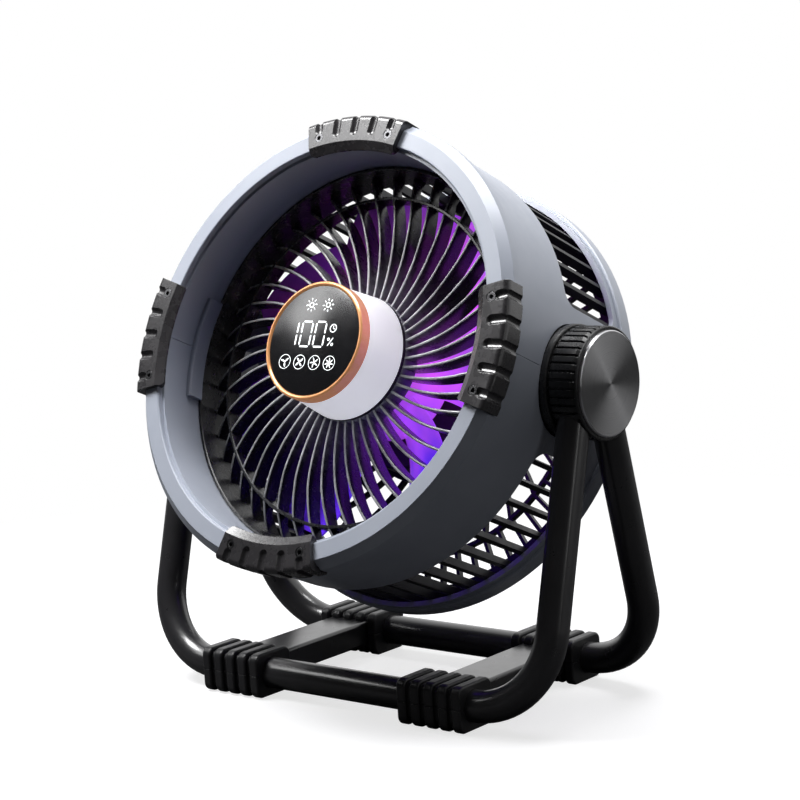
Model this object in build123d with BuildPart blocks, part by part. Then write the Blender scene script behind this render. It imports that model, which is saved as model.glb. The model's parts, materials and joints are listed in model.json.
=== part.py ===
"""Portable camping fan: a round fan head with a lamp and display hub, tilting in a bent-tube stand.

Millimetres, +Z up, the fan faces -Y. The origin is on the floor, under the middle of the fan.
"""

from build123d import *
import math
import os

# ---------------------------------------------------------------- whole fan
pivot_height = 188.2          # tilt axis above the floor
pivot_y = 7.25                # tilt axis behind the origin
rest_tilt = 23.6              # degrees that the head looks up at rest

# ---------------------------------------------------------------- clearances
seat_gap = 0.15               # between pieces that are screwed, glued or clipped together
running_gap = 0.06            # radial, between a shaft and what it turns in
face_gap = 0.1                # between flat faces that turn on each other
seam_gap = 0.3                # visible line between two mouldings
overlap = 1.0                 # shapes that join or cut reach this far past each other

# ---------------------------------------------------------------- head shell
duct_radius = 118.0
duct_wall = 2.5
mouth_widening = 2.0          # the band just inside the mouth is wider than the duct
mouth_radius = duct_radius + mouth_widening
mouth_step = 3.4              # depth of that band
mouth_lip = 0.6
ring_width = 10.0
ring_radius = mouth_radius + ring_width
ring_front = 71.6             # flat front ring ahead of the tilt axis
flange_rise = 4.8             # bevelled edge round the flat ring
flange_radius = ring_radius + flange_rise
flange_bevel = 5.1
flange_band = 6.0
shell_depth = 14.5            # from the duct out to the body's surface
body_radius = duct_radius + shell_depth
body_wall = 3.0
body_back = 46.0              # shell ends behind the tilt axis
window_front = 10.0           # vent windows, from this far ahead of the tilt axis
window_back = 42.0            # to this far behind it
window_start_angle = 18.6     # degrees above and below the tilt axis
window_corner = 9.0
bulkhead = 3.0
pocket_gap = 0.8              # round the pivot housing, in the shell's pocket
boss_wall = 3.3
boss_inset = 0.5              # boss rim below the body surface
seat_span = 31.4              # degrees of flange cut away under each bumper
seat_step = 0.3               # the bumpers' seats stand this far outside the body
seat_radius = body_radius + seat_step

rear_ring_step = 2.1          # outside the body
rear_ring_radius = body_radius + rear_ring_step
rear_ring_back = 59.5
rear_ring_taper = 2.2
rear_ring_back_radius = rear_ring_radius - rear_ring_taper
rear_ring_width = 15.4
rear_ring_inner = rear_ring_radius - rear_ring_width
rear_ring_lip = 2.4
rear_ring_bevel = 3.2
rear_ring_edge = 0.8
guard_screw_inset = 4.2       # from the rear ring's inner edge
guard_screw_circle = rear_ring_inner + guard_screw_inset
guard_screw_count = 8
guard_screw_lead = 3.25       # bar pitches from the first basket bar to the first guard screw

# ---------------------------------------------------------------- stand
tube_radius = 9.25
tube_wall = 1.5
tube_axis_height = 14.0
front_tube_offset = 61.7      # front floor tube ahead of the tilt axis
rear_tube_offset = 52.2       # rear floor tube behind the tilt axis
front_leg_lead = 15.0         # front leg ahead of the tilt axis, at its height
rear_leg_trail = 6.3          # rear leg behind the tilt axis, at its height
leg_stand_off = 13.3          # leg axis outside the body
leg_x = body_radius + leg_stand_off
leg_end_drop = 14.0           # leg ends below the tilt axis
bend_radius = 46.0

crossbar_x = 76.0
crossbar_width = 30.6
crossbar_height = 15.6
crossbar_wall = 1.5
crossbar_corner = 2.0

crossbar_gap_to_tube = 1.0

clamp_width = 45.0
clamp_side = 27.0             # height of the ribs
clamp_reach = 17.2            # from the tube axis in over the crossbar end
clamp_corner = 5.0
clamp_rib_count = 5
clamp_rib_width = 6.2
clamp_rib_round = 1.3
clamp_groove_depth = 2.2
clamp_screw_seat = 3.2        # screw heads stop this far above the floor
clamp_screw_bite = 2.6        # screws reach this far above the crossbar

# ---------------------------------------------------------------- pivots
housing_plug_depth = 8.1      # the housing goes this far into the body
housing_inner_x = body_radius - housing_plug_depth
housing_reach = 23.7          # and stands out from it by this much
housing_outer_x = body_radius + housing_reach
housing_plug_radius = 31.4    # plain part that turns in the shell's pocket
housing_collar_radius = 32.6
housing_collar_width = 3.5
housing_collar_gap = 0.5      # between the body surface and the collar
housing_radius = 31.8         # tips of the ridges, and the rim under the cap
housing_root_radius = 30.2
housing_rim = 1.2
housing_edge = 0.6
ridge_count = 42
ridge_width = 3.2
ridge_bevel = 2.2
ridge_groove = 0.6            # between the ridges' outer ends and the rim under the cap
cap_thickness = 1.8
cap_radius = 29.5
cap_bevel = 0.6
cap_plug_radius = 16.0
cap_plug_depth = 3.0
bolt_radius = 4.0
bolt_head_radius = 10.5
bolt_head_height = 2.6
bolt_end_inset = 7.2          # from the housing's outer face
bolt_end_x = housing_outer_x - bolt_end_inset
nut_across_flats = 13.0
nut_height = 6.5
nut_pocket_radius = 10.0
nut_pocket_depth = 18.2
nut_pocket_floor_x = housing_outer_x - nut_pocket_depth
spring_washer_height = 1.6
spring_washer_radius = 8.8
friction_washer_height = 1.0
friction_washer_radius = 25.0
friction_washer_bore = 8.0
pocket_floor_x = housing_inner_x - face_gap - friction_washer_height
bush_radius = 6.5
set_screw_radius = 1.5
set_screw_inset = 1.6         # from the housing's inner face
set_screw_start_x = housing_inner_x + set_screw_inset
set_screw_drop = 16.0         # below the tilt axis
set_screw_socket = 1.5
set_screw_hex = 1.5

# ---------------------------------------------------------------- bumpers
bumper_span = 31.0
bumper_step = 1.3             # outside the flange
bumper_radius = flange_radius + bumper_step
bumper_inner = mouth_radius
bumper_lip_reach = 5.0        # the bevelled lip goes this far into the mouth
bumper_lip_drop = 3.0
bumper_lip_edge = 1.2
bumper_lip_round = 2.5
bumper_plate = 3.2
bumper_floor = 0.6            # under the screw heads
bumper_back = 59.8
bumper_round = 3.4
bumper_edge = 0.8
bumper_flute_radius = 3.2
bumper_flute_step = 6.0       # degrees from one of the three middle flutes to the next
bumper_flute_inset = 10.1     # centre of a middle flute's round end, in from the rim
bumper_flute_start = bumper_radius - bumper_flute_inset
bumper_flute_depth = 1.8
bumper_flute_side_depth = 1.6
bumper_screw_flute_inset = 6.1
bumper_screw_flute_start = bumper_radius - bumper_screw_flute_inset
bumper_screw_angle = 12.0
bumper_screw_inset = 4.8      # from the edge of the flat ring
bumper_screw_circle = ring_radius - bumper_screw_inset
bumper_screw_radius = 1.5
bumper_screw_head_radius = 2.75
bumper_screw_head_height = 2.4
bumper_screw_length = 9.0
hex_socket_across = 2.5
hex_socket_depth = 1.5

# ---------------------------------------------------------------- grilles
fin_count = 45
fin_thickness = 1.7
fin_back = 21.5               # rear edge of the front fins ahead of the tilt axis
fin_front_hub = 33.6
fin_front_ring = 31.4
fin_front_rim = 23.0
fin_front_shoulder = 26.6
fin_flat_radius = 78.0
fin_shoulder_inset = 7.0      # from the duct's wall
fin_shoulder_radius = duct_radius - fin_shoulder_inset
fin_heel_inset = 11.0
fin_heel_radius = duct_radius - fin_heel_inset
fin_start_turn = 2.5          # degrees at the hub
fin_turn_per_mm = 0.161
fin_curl = 0.0011
grille_hub_radius = 38.2
grille_hub_wall = 2.6
grille_floor = 2.5
middle_ring_inset = 18.0
middle_ring_radius = duct_radius - middle_ring_inset
middle_ring_wall = 2.0
collar_wall = 2.2
collar_front = 38.0
collar_back = 12.0
basket_bar_count = 60
basket_bar_start = 2.3        # degrees from +X to the first bar
basket_bar_width = 2.8
basket_bar_depth = 5.6
basket_back = 57.0
basket_face = 4.0
basket_hoop_width = 3.4
rear_rib_thickness = 2.2
rear_rib_turn_per_mm = 0.26
rear_hoop_radii = (74.0, 99.0)
rear_hoop_width = 2.4
hub_seat_wall = 3.0
hub_seat_depth = 12.0

# ---------------------------------------------------------------- joint covers inside the mouth
cover_span = 31.0
cover_raise = 3.2
cover_front = 49.0
cover_edge = 0.8

# ---------------------------------------------------------------- lamp and display hub
lamp_base_height = 2.4
diffuser_base_radius = 37.8
diffuser_top_radius = 35.0
diffuser_wall = 2.0
bezel_back = 63.8
bezel_front = 71.9
bezel_radius = 35.3
bezel_lip = 2.4
bezel_shelf = 1.0             # thickness of the lip the glass sits on
bezel_bevel = 0.8
lens_thickness = 2.0
lens_recess = 0.9
lens_bevel = 0.3
board_thickness = 1.6
lamp_board_inner = 25.6
led_count = 16
led_size = 3.5
led_height = 1.2
led_circle = 29.6
carrier_radius = 24.6
carrier_wall = 2.0
lamp_screw_circle = 18.0
lamp_screw_count = 4
small_screw_radius = 1.3
small_screw_head_radius = 2.4
small_screw_head_height = 1.6

# ---------------------------------------------------------------- fan wheel and motor
tip_clearance = 14.0          # blade tips to the duct's wall
wheel_radius = duct_radius - tip_clearance
wheel_hub_radius = 38.0
wheel_hub_wall = 2.5
wheel_front = 15.0
wheel_back = 12.0
wheel_disc = 3.0
wheel_nose = 5.0
blade_reach = 17.0
blade_inset = 4.0             # blades are lofted from inside the hub wall
blade_overrun = 4.0           # to past the tip circle, then trimmed to both
blade_camber = 0.07
blade_count = 7
blade_thickness = 2.4
blade_root_pitch = 42.0
blade_tip_pitch = 21.0
blade_root_chord = 36.0
blade_tip_chord = 80.0
blade_sweep = 22.0
blade_phase = 4.0
blade_edge = 1.0
shaft_radius = 2.5
rotor_radius = 25.0
rotor_wall = 1.5
rotor_back = 9.0
magnet_thickness = 3.0
magnet_back = 8.0
magnet_front = 7.0
air_gap = 0.7
stator_front = 6.0
stator_back = 7.0
stator_hub_radius = 10.0
tooth_count = 9
tooth_width = 4.0
tooth_tip = 2.4
tooth_span = 10.0
tube_collar = 2.5
motor_screw_circle = 19.0
motor_screw_count = 4
shaft_end_gap = 0.4
shaft_bevel = 0.5
bearing_radius = 5.5
bearing_width = 4.0
bearing_tube_radius = 6.6
motor_plate_radius = 24.0
motor_plate = 2.5
shaft_nut_height = 4.0
shaft_nut_across = 8.0

# ---------------------------------------------------------------- battery housing at the back
battery_front = 21.5          # front wall of the housing behind the tilt axis
battery_radius = 52.6
battery_wall = 2.4
battery_back = 56.0
cell_radius = 9.2
cell_length = 65.0
cell_pitch = 18.6
cell_count = 4
control_board_back = 49.5
control_board_radius = 42.0
rear_cover = 2.6
port_width = 9.0
port_height = 3.3
port_length = 7.6
port_drop = 34.0
port_wall = 0.5
port_tongue = 0.8
port_tongue_width = 5.6
port_floor = 1.5
battery_edge = 1.2
cover_post_circle = 37.0
cover_post_count = 3
cover_post_radius = 3.0
rear_screw_circle = 47.4
rear_screw_count = 4
rear_screw_start = 45.0
rear_screw_length = 8.0
rear_boss_radius = 3.4
rear_boss_depth = 46.0
guard_screw_length = 5.0

# ================================================================= planes and directions
tilt = math.radians(rest_tilt)
pivot = Vector(0, pivot_y, pivot_height)
sideways = Vector(1, 0, 0)
forward = Vector(0, -math.cos(tilt), math.sin(tilt))
upward = Vector(0, math.sin(tilt), math.cos(tilt))
fan_axis = Axis(pivot, forward)
head = Plane(origin=pivot, x_dir=sideways, z_dir=forward)


def radial(angle):
    """Direction out from the fan axis, by degrees from +X towards the top of the head."""
    turn = math.radians(angle)
    return sideways * math.cos(turn) + upward * math.sin(turn)


def section(angle=0):
    """Half section of the head: x is the radius, y is the distance ahead of the tilt axis."""
    return Plane(origin=pivot, x_dir=radial(angle), z_dir=radial(angle).cross(forward))


def side_plane(side, distance):
    """Plane square to the tilt axis, facing out, with the head's forward direction along x."""
    return Plane(origin=pivot + sideways * side * distance, x_dir=forward, z_dir=sideways * side)


def head_point(radius, angle, ahead):
    return pivot + radial(angle) * radius + forward * ahead


def save(piece, name):
    piece.part.label = name
    export_step(piece.part, f"parts/{name}.step")


sides = {"left": -1, "right": 1}
bumper_angles = {"right": 0, "top": 90, "left": 180, "bottom": 270}
ends = {"front": -1, "rear": 1}
os.makedirs("parts", exist_ok=True)

# ================================================================= stand tubes
front_tube_y = pivot_y - front_tube_offset
rear_tube_y = pivot_y + rear_tube_offset
front_leg_slope = (front_tube_offset - front_leg_lead) / (pivot_height - tube_axis_height)
rear_leg_slope = (rear_tube_offset - rear_leg_trail) / (pivot_height - tube_axis_height)
leg_end_z = pivot_height - leg_end_drop
front_leg_end_y = pivot_y - front_leg_lead - front_leg_slope * leg_end_drop
rear_leg_end_y = pivot_y + rear_leg_trail + rear_leg_slope * leg_end_drop


def make_stand_tube(floor_y, end_y):
    """One steel tube, bent into a wide U whose legs lean in to the pivots."""
    with BuildPart() as tube:
        with BuildLine() as path:
            FilletPolyline(
                (-leg_x, end_y, leg_end_z),
                (-leg_x, floor_y, tube_axis_height),
                (leg_x, floor_y, tube_axis_height),
                (leg_x, end_y, leg_end_z),
                radius=bend_radius,
            )
        with BuildSketch(Plane(origin=path.line @ 0, z_dir=path.line % 0)):
            Circle(tube_radius)
            Circle(tube_radius - tube_wall, mode=Mode.SUBTRACT)
        sweep(path=path.line)
    return tube


front_tube = make_stand_tube(front_tube_y, front_leg_end_y)
save(front_tube, "front_tube")
rear_tube = make_stand_tube(rear_tube_y, rear_leg_end_y)
save(rear_tube, "rear_tube")

# ================================================================= crossbars
crossbar_gap = tube_radius + crossbar_gap_to_tube
crossbar_start_y = front_tube_y + crossbar_gap
crossbar_end_y = rear_tube_y - crossbar_gap
rib_pitch = (clamp_width - clamp_rib_width) / (clamp_rib_count - 1)
clamp_screw_back = (crossbar_gap + clamp_reach) / 2


def clamp_screw_points(side):
    """The screws of the two clamps on one crossbar stand under the ribs next to the middle one."""
    return [
        (side * crossbar_x + shift * rib_pitch, tube_y - end * clamp_screw_back)
        for end, tube_y in ((-1, front_tube_y), (1, rear_tube_y))
        for shift in (-1, 1)
    ]


def make_crossbar(side):
    """Flat box tube that ties the front and rear tubes together."""
    start = Plane(
        origin=(side * crossbar_x, crossbar_start_y, tube_axis_height), x_dir=(1, 0, 0), z_dir=(0, 1, 0)
    )
    with BuildPart() as bar:
        with BuildSketch(start):
            RectangleRounded(crossbar_width, crossbar_height, crossbar_corner)
            RectangleRounded(
                crossbar_width - 2 * crossbar_wall,
                crossbar_height - 2 * crossbar_wall,
                crossbar_corner - crossbar_wall / 2,
                mode=Mode.SUBTRACT,
            )
        extrude(amount=crossbar_end_y - crossbar_start_y)
        with BuildSketch(Plane.XY):
            with Locations(*clamp_screw_points(side)):
                Circle(small_screw_radius + seat_gap)
        extrude(amount=clamp_side, mode=Mode.SUBTRACT)
    return bar


for side_name, side in sides.items():
    crossbar = make_crossbar(side)
    save(crossbar, f"crossbar_{side_name}")

# ================================================================= ribbed foot clamps
clamp_length = clamp_side / 2 + clamp_reach
clamp_screw_top = tube_axis_height + crossbar_height / 2 + clamp_screw_bite


def make_clamp_half(side, end, upper):
    """Half of a clamp round the floor tube and a crossbar end. end is -1 at the front, 1 at the rear."""
    tube_y = front_tube_y if end < 0 else rear_tube_y
    middle_y = tube_y - end * (clamp_length / 2 - clamp_side / 2)
    left_end = Plane(
        origin=(side * crossbar_x - clamp_width / 2, middle_y, clamp_side / 2),
        x_dir=(0, 1, 0),
        z_dir=(1, 0, 0),
    )
    bar_end = Plane(
        origin=(side * crossbar_x, tube_y - end * (crossbar_gap - seat_gap), tube_axis_height),
        x_dir=(1, 0, 0),
        z_dir=(0, -end, 0),
    )
    with BuildPart() as clamp:
        with BuildSketch(left_end.offset(clamp_rib_width / 2)):
            RectangleRounded(
                clamp_length - 2 * clamp_groove_depth,
                clamp_side - 2 * clamp_groove_depth,
                clamp_corner - clamp_groove_depth / 2,
            )
        extrude(amount=clamp_width - clamp_rib_width)
        for rib in range(clamp_rib_count):
            with BuildSketch(left_end.offset(rib * rib_pitch)):
                RectangleRounded(clamp_length, clamp_side, clamp_corner)
            extrude(amount=clamp_rib_width)
        rib_faces = clamp.faces().filter_by(Axis.X)
        fillet([edge for face in rib_faces for edge in face.outer_wire().edges()], radius=clamp_rib_round)
        with BuildSketch(left_end):
            with Locations((tube_y - middle_y, tube_axis_height - clamp_side / 2)):
                Circle(tube_radius + seat_gap)
        extrude(amount=clamp_width, mode=Mode.SUBTRACT)
        with BuildSketch(bar_end):
            RectangleRounded(
                crossbar_width + 2 * seat_gap, crossbar_height + 2 * seat_gap, crossbar_corner + seat_gap
            )
        extrude(amount=clamp_length, mode=Mode.SUBTRACT)
        with BuildSketch(Plane.XY):
            with Locations(*clamp_screw_points(side)):
                Circle(small_screw_radius + seat_gap)
        extrude(amount=clamp_screw_top + seat_gap, mode=Mode.SUBTRACT)
        with BuildSketch(Plane.XY):
            with Locations(*clamp_screw_points(side)):
                Circle(small_screw_head_radius + seat_gap)
        extrude(amount=clamp_screw_seat, mode=Mode.SUBTRACT)
        split(
            bisect_by=Plane.XY.offset(tube_axis_height + (seam_gap / 2 if upper else -seam_gap / 2)),
            keep=Keep.TOP if upper else Keep.BOTTOM,
        )
    return clamp


for end_name, end in ends.items():
    for side_name, side in sides.items():
        clamp_top = make_clamp_half(side, end, upper=True)
        save(clamp_top, f"clamp_top_{end_name}_{side_name}")
        clamp_foot = make_clamp_half(side, end, upper=False)
        save(clamp_foot, f"clamp_foot_{end_name}_{side_name}")

with BuildPart() as clamp_screws:
    for side in sides.values():
        with BuildSketch(Plane.XY.offset(clamp_screw_seat)):
            with Locations(*clamp_screw_points(side)):
                Circle(small_screw_radius)
        extrude(amount=clamp_screw_top - clamp_screw_seat)
        with BuildSketch(Plane.XY.offset(clamp_screw_seat - small_screw_head_height)):
            with Locations(*clamp_screw_points(side)):
                Circle(small_screw_head_radius)
        extrude(amount=small_screw_head_height)
save(clamp_screws, "clamp_screws")

# ================================================================= pivot housings on the stand
leg_socket_radius = tube_radius + seat_gap
collar_start_x = body_radius + housing_collar_gap
ridge_start_x = collar_start_x + housing_collar_width
rim_start_x = housing_outer_x - housing_rim
ridge_end_x = rim_start_x - ridge_groove
set_screw_end_x = leg_x - tube_radius - seat_gap
set_screw_solid_x = set_screw_start_x + set_screw_socket


def leg_plane(side, floor_y, end_y):
    """Plane at a leg's top end, facing down the leg."""
    down = Vector(0, floor_y - end_y, tube_axis_height - leg_end_z).normalized()
    return Plane(origin=(side * leg_x, end_y, leg_end_z), x_dir=(1, 0, 0), z_dir=down)


def set_screw_points(side):
    """Where the set screws press on the two legs."""
    return [
        (0, pivot_y + offset, pivot_height - set_screw_drop)
        for offset in (
            -front_leg_lead - front_leg_slope * set_screw_drop,
            rear_leg_trail + rear_leg_slope * set_screw_drop,
        )
    ]


def make_pivot_housing(side):
    """Ridged drum that holds both legs and carries the tilt pivot."""
    with BuildPart() as ridges:
        with BuildSketch(side_plane(side, ridge_start_x)):
            with PolarLocations(housing_root_radius, ridge_count):
                Rectangle(2 * (housing_radius - housing_root_radius) + overlap, ridge_width)
        extrude(amount=ridge_end_x - ridge_start_x)
        with BuildSketch(Plane(origin=pivot, x_dir=(1, 0, 0), z_dir=(0, 0, 1))):
            with BuildLine():
                Polyline(
                    (side * (ridge_start_x - overlap), 0),
                    (side * (ridge_start_x - overlap), housing_root_radius),
                    (side * ridge_start_x, housing_root_radius),
                    (side * (ridge_start_x + ridge_bevel), housing_radius),
                    (side * (ridge_end_x - ridge_bevel), housing_radius),
                    (side * ridge_end_x, housing_root_radius),
                    (side * (ridge_end_x + overlap), housing_root_radius),
                    (side * (ridge_end_x + overlap), 0),
                    close=True,
                )
            make_face()
        revolve(axis=Axis(pivot, (1, 0, 0)), mode=Mode.INTERSECT)
    with BuildPart() as housing:
        with BuildSketch(Plane(origin=pivot, x_dir=(1, 0, 0), z_dir=(0, 0, 1))):
            with BuildLine():
                Polyline(
                    (side * housing_inner_x, 0),
                    (side * housing_inner_x, housing_plug_radius),
                    (side * collar_start_x, housing_plug_radius),
                    (side * collar_start_x, housing_collar_radius),
                    (side * (ridge_start_x - housing_edge), housing_collar_radius),
                    (side * ridge_start_x, housing_collar_radius - housing_edge),
                    (side * ridge_start_x, housing_root_radius),
                    (side * rim_start_x, housing_root_radius),
                    (side * rim_start_x, housing_radius),
                    (side * (housing_outer_x - housing_edge), housing_radius),
                    (side * housing_outer_x, housing_radius - housing_edge),
                    (side * housing_outer_x, 0),
                    close=True,
                )
            make_face()
        revolve(axis=Axis(pivot, (1, 0, 0)))
        add(ridges.part)
        with BuildSketch(side_plane(side, housing_inner_x)):
            Circle(bolt_radius + running_gap)
        extrude(amount=housing_outer_x - housing_inner_x, mode=Mode.SUBTRACT)
        with BuildSketch(side_plane(side, nut_pocket_floor_x)):
            Circle(nut_pocket_radius)
        extrude(amount=housing_outer_x - nut_pocket_floor_x, mode=Mode.SUBTRACT)
        with BuildSketch(side_plane(side, housing_outer_x - cap_plug_depth - seat_gap)):
            Circle(cap_plug_radius + seat_gap)
        extrude(amount=cap_plug_depth + seat_gap, mode=Mode.SUBTRACT)
        for floor_y, end_y in ((front_tube_y, front_leg_end_y), (rear_tube_y, rear_leg_end_y)):
            with BuildSketch(leg_plane(side, floor_y, end_y)):
                Circle(leg_socket_radius)
            extrude(amount=housing_radius, mode=Mode.SUBTRACT)
        for point in set_screw_points(side):
            with BuildSketch(Plane(origin=point, z_dir=(side, 0, 0)).offset(housing_inner_x)):
                Circle(set_screw_radius + running_gap)
            extrude(amount=leg_x - housing_inner_x, mode=Mode.SUBTRACT)
    return housing


def make_hub_cap(side):
    """Turned metal disc on the outer end of a pivot housing."""
    inner = side * housing_outer_x
    outer = side * (housing_outer_x + cap_thickness)
    with BuildPart() as cap:
        with BuildSketch(Plane(origin=pivot, x_dir=(1, 0, 0), z_dir=(0, 0, 1))):
            with BuildLine():
                Polyline(
                    (inner - side * cap_plug_depth, 0),
                    (inner - side * cap_plug_depth, cap_plug_radius),
                    (inner, cap_plug_radius),
                    (inner, cap_radius),
                    (outer - side * cap_bevel, cap_radius),
                    (outer, cap_radius - cap_bevel),
                    (outer, 0),
                    close=True,
                )
            make_face()
        revolve(axis=Axis(pivot, (1, 0, 0)))
    return cap


def make_friction_washer(side):
    """Fibre washer that holds the head's tilt by friction."""
    with BuildPart() as washer:
        with BuildSketch(side_plane(side, housing_inner_x - friction_washer_height)):
            Circle(friction_washer_radius)
            Circle(friction_washer_bore, mode=Mode.SUBTRACT)
        extrude(amount=friction_washer_height)
    return washer


for side_name, side in sides.items():
    pivot_housing = make_pivot_housing(side)
    save(pivot_housing, f"pivot_housing_{side_name}")
    hub_cap = make_hub_cap(side)
    save(hub_cap, f"hub_cap_{side_name}")
    friction_washer = make_friction_washer(side)
    save(friction_washer, f"friction_washer_{side_name}")

with BuildPart() as leg_set_screws:
    for side in sides.values():
        for point in set_screw_points(side):
            with BuildSketch(Plane(origin=point, z_dir=(side, 0, 0)).offset(set_screw_start_x)):
                Circle(set_screw_radius)
                RegularPolygon(set_screw_hex / 2, 6, major_radius=False, mode=Mode.SUBTRACT)
            extrude(amount=set_screw_socket)
            with BuildSketch(Plane(origin=point, z_dir=(side, 0, 0)).offset(set_screw_solid_x)):
                Circle(set_screw_radius)
            extrude(amount=set_screw_end_x - set_screw_solid_x)
save(leg_set_screws, "leg_set_screws")

# ================================================================= tilt pivots in the head
with BuildPart() as pivot_bolts:
    for side in sides.values():
        with BuildSketch(side_plane(side, duct_radius - bolt_head_height)):
            Circle(bolt_head_radius)
        extrude(amount=bolt_head_height)
        with BuildSketch(side_plane(side, duct_radius)):
            Circle(bolt_radius)
        extrude(amount=bolt_end_x - duct_radius)
save(pivot_bolts, "pivot_bolts")

with BuildPart() as pivot_bushes:
    for side in sides.values():
        with BuildSketch(side_plane(side, duct_radius)):
            Circle(bush_radius)
            Circle(bolt_radius + running_gap, mode=Mode.SUBTRACT)
        extrude(amount=pocket_floor_x - duct_radius)
save(pivot_bushes, "pivot_bushes")

with BuildPart() as spring_washers:
    for side in sides.values():
        with BuildSketch(side_plane(side, nut_pocket_floor_x + face_gap)):
            Circle(spring_washer_radius)
            Circle(bolt_radius + running_gap, mode=Mode.SUBTRACT)
        extrude(amount=spring_washer_height)
save(spring_washers, "spring_washers")

with BuildPart() as pivot_nuts:
    for side in sides.values():
        with BuildSketch(side_plane(side, nut_pocket_floor_x + face_gap + spring_washer_height)):
            RegularPolygon(nut_across_flats / 2, 6, major_radius=False)
            Circle(bolt_radius + running_gap, mode=Mode.SUBTRACT)
        extrude(amount=nut_height)
save(pivot_nuts, "pivot_nuts")

# ================================================================= head shell, two halves
flange_back = ring_front - flange_bevel - flange_band
pocket_radius = housing_plug_radius + pocket_gap


def make_window_tool(start_angle):
    """Rounded vent window through the body wall, from start_angle round to the far pivot boss."""
    inner = body_radius - body_wall - overlap
    outer = body_radius + overlap
    with BuildPart() as tool:
        with BuildSketch(section(start_angle)):
            with BuildLine():
                Polyline(
                    (inner, -window_back),
                    (outer, -window_back),
                    (outer, window_front),
                    (inner, window_front),
                    close=True,
                )
            make_face()
        revolve(axis=fan_axis, revolution_arc=180 - 2 * window_start_angle)
        straight_edges = tool.edges().filter_by(GeomType.LINE)
        corner_edges = [edge for edge in straight_edges if abs(edge.tangent_at(0).dot(forward)) < 0.5]
        fillet(corner_edges, radius=window_corner)
    return tool


with BuildPart() as pivot_bosses:
    for side in sides.values():
        with BuildSketch(side_plane(side, 0)):
            Circle(pocket_radius + boss_wall)
        extrude(amount=body_radius + overlap)
    with BuildSketch(section()):
        with BuildLine():
            Polyline(
                (duct_radius, -body_radius),
                (body_radius - boss_inset, -body_radius),
                (body_radius - boss_inset, body_radius),
                (duct_radius, body_radius),
                close=True,
            )
        make_face()
    revolve(axis=fan_axis, mode=Mode.INTERSECT)


def make_shell_half(upper):
    """Half of the head shell: front ring, air duct, vented body and half of each pivot boss."""
    half_turn = 0 if upper else 180
    window_tool = make_window_tool(half_turn + window_start_angle)
    seam = Plane(origin=pivot, x_dir=sideways, z_dir=upward)
    cavity_front = ring_front - flange_bevel - overlap
    with BuildPart() as shell:
        with BuildSketch(section(half_turn)):
            with BuildLine():
                Polyline(
                    (duct_radius, window_front),
                    (duct_radius, ring_front - mouth_step),
                    (mouth_radius, ring_front - mouth_step),
                    (mouth_radius, ring_front - mouth_lip),
                    (mouth_radius + mouth_lip, ring_front),
                    (ring_radius, ring_front),
                    (flange_radius, ring_front - flange_bevel),
                    (flange_radius, flange_back),
                    (body_radius, flange_back - (flange_radius - body_radius) / 2),
                    (body_radius, -body_back),
                    (body_radius - body_wall, -body_back),
                    (body_radius - body_wall, window_front),
                    close=True,
                )
            make_face()
            with BuildLine():
                Polyline(
                    (duct_radius + duct_wall, window_front + bulkhead),
                    (duct_radius + duct_wall, cavity_front),
                    (body_radius - body_wall, cavity_front),
                    (body_radius - body_wall, window_front + bulkhead),
                    close=True,
                )
            make_face(mode=Mode.SUBTRACT)
        revolve(axis=fan_axis, revolution_arc=180)
        add(pivot_bosses.part)
        add(window_tool.part, mode=Mode.SUBTRACT)
        for side in sides.values():
            with BuildSketch(side_plane(side, pocket_floor_x)):
                Circle(pocket_radius)
            extrude(amount=body_radius, mode=Mode.SUBTRACT)
            with BuildSketch(side_plane(side, duct_radius - overlap)):
                Circle(bush_radius + seat_gap)
            extrude(amount=body_radius - duct_radius, mode=Mode.SUBTRACT)
            with BuildSketch(side_plane(side, duct_radius - bolt_head_height)):
                Circle(bolt_head_radius + seat_gap)
            extrude(amount=bolt_head_height, mode=Mode.SUBTRACT)
        for angle in bumper_angles.values():
            with BuildSketch(section(angle - seat_span / 2)):
                with BuildLine():
                    Polyline(
                        (seat_radius, bumper_back - seat_gap),
                        (bumper_radius, bumper_back - seat_gap),
                        (bumper_radius, ring_front + overlap),
                        (seat_radius, ring_front + overlap),
                        close=True,
                    )
                make_face()
            revolve(axis=fan_axis, revolution_arc=seat_span, mode=Mode.SUBTRACT)
            with BuildSketch(head.offset(ring_front - bumper_screw_length)):
                with Locations(*bumper_screw_points(angle)):
                    Circle(bumper_screw_radius + seat_gap)
            extrude(amount=bumper_screw_length, mode=Mode.SUBTRACT)
        split(
            bisect_by=seam.offset(seam_gap / 2 if upper else -seam_gap / 2),
            keep=Keep.TOP if upper else Keep.BOTTOM,
        )
    return shell


def bumper_screw_points(angle):
    """Screw places on a plane square to the fan axis, for the bumper at this angle."""
    return [
        (bumper_screw_circle * math.cos(turn), bumper_screw_circle * math.sin(turn))
        for turn in (math.radians(angle - bumper_screw_angle), math.radians(angle + bumper_screw_angle))
    ]


upper_shell = make_shell_half(upper=True)
save(upper_shell, "upper_shell")
lower_shell = make_shell_half(upper=False)
save(lower_shell, "lower_shell")

basket_step = 360 / basket_bar_count
guard_screw_start = basket_bar_start + guard_screw_lead * basket_step

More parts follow.
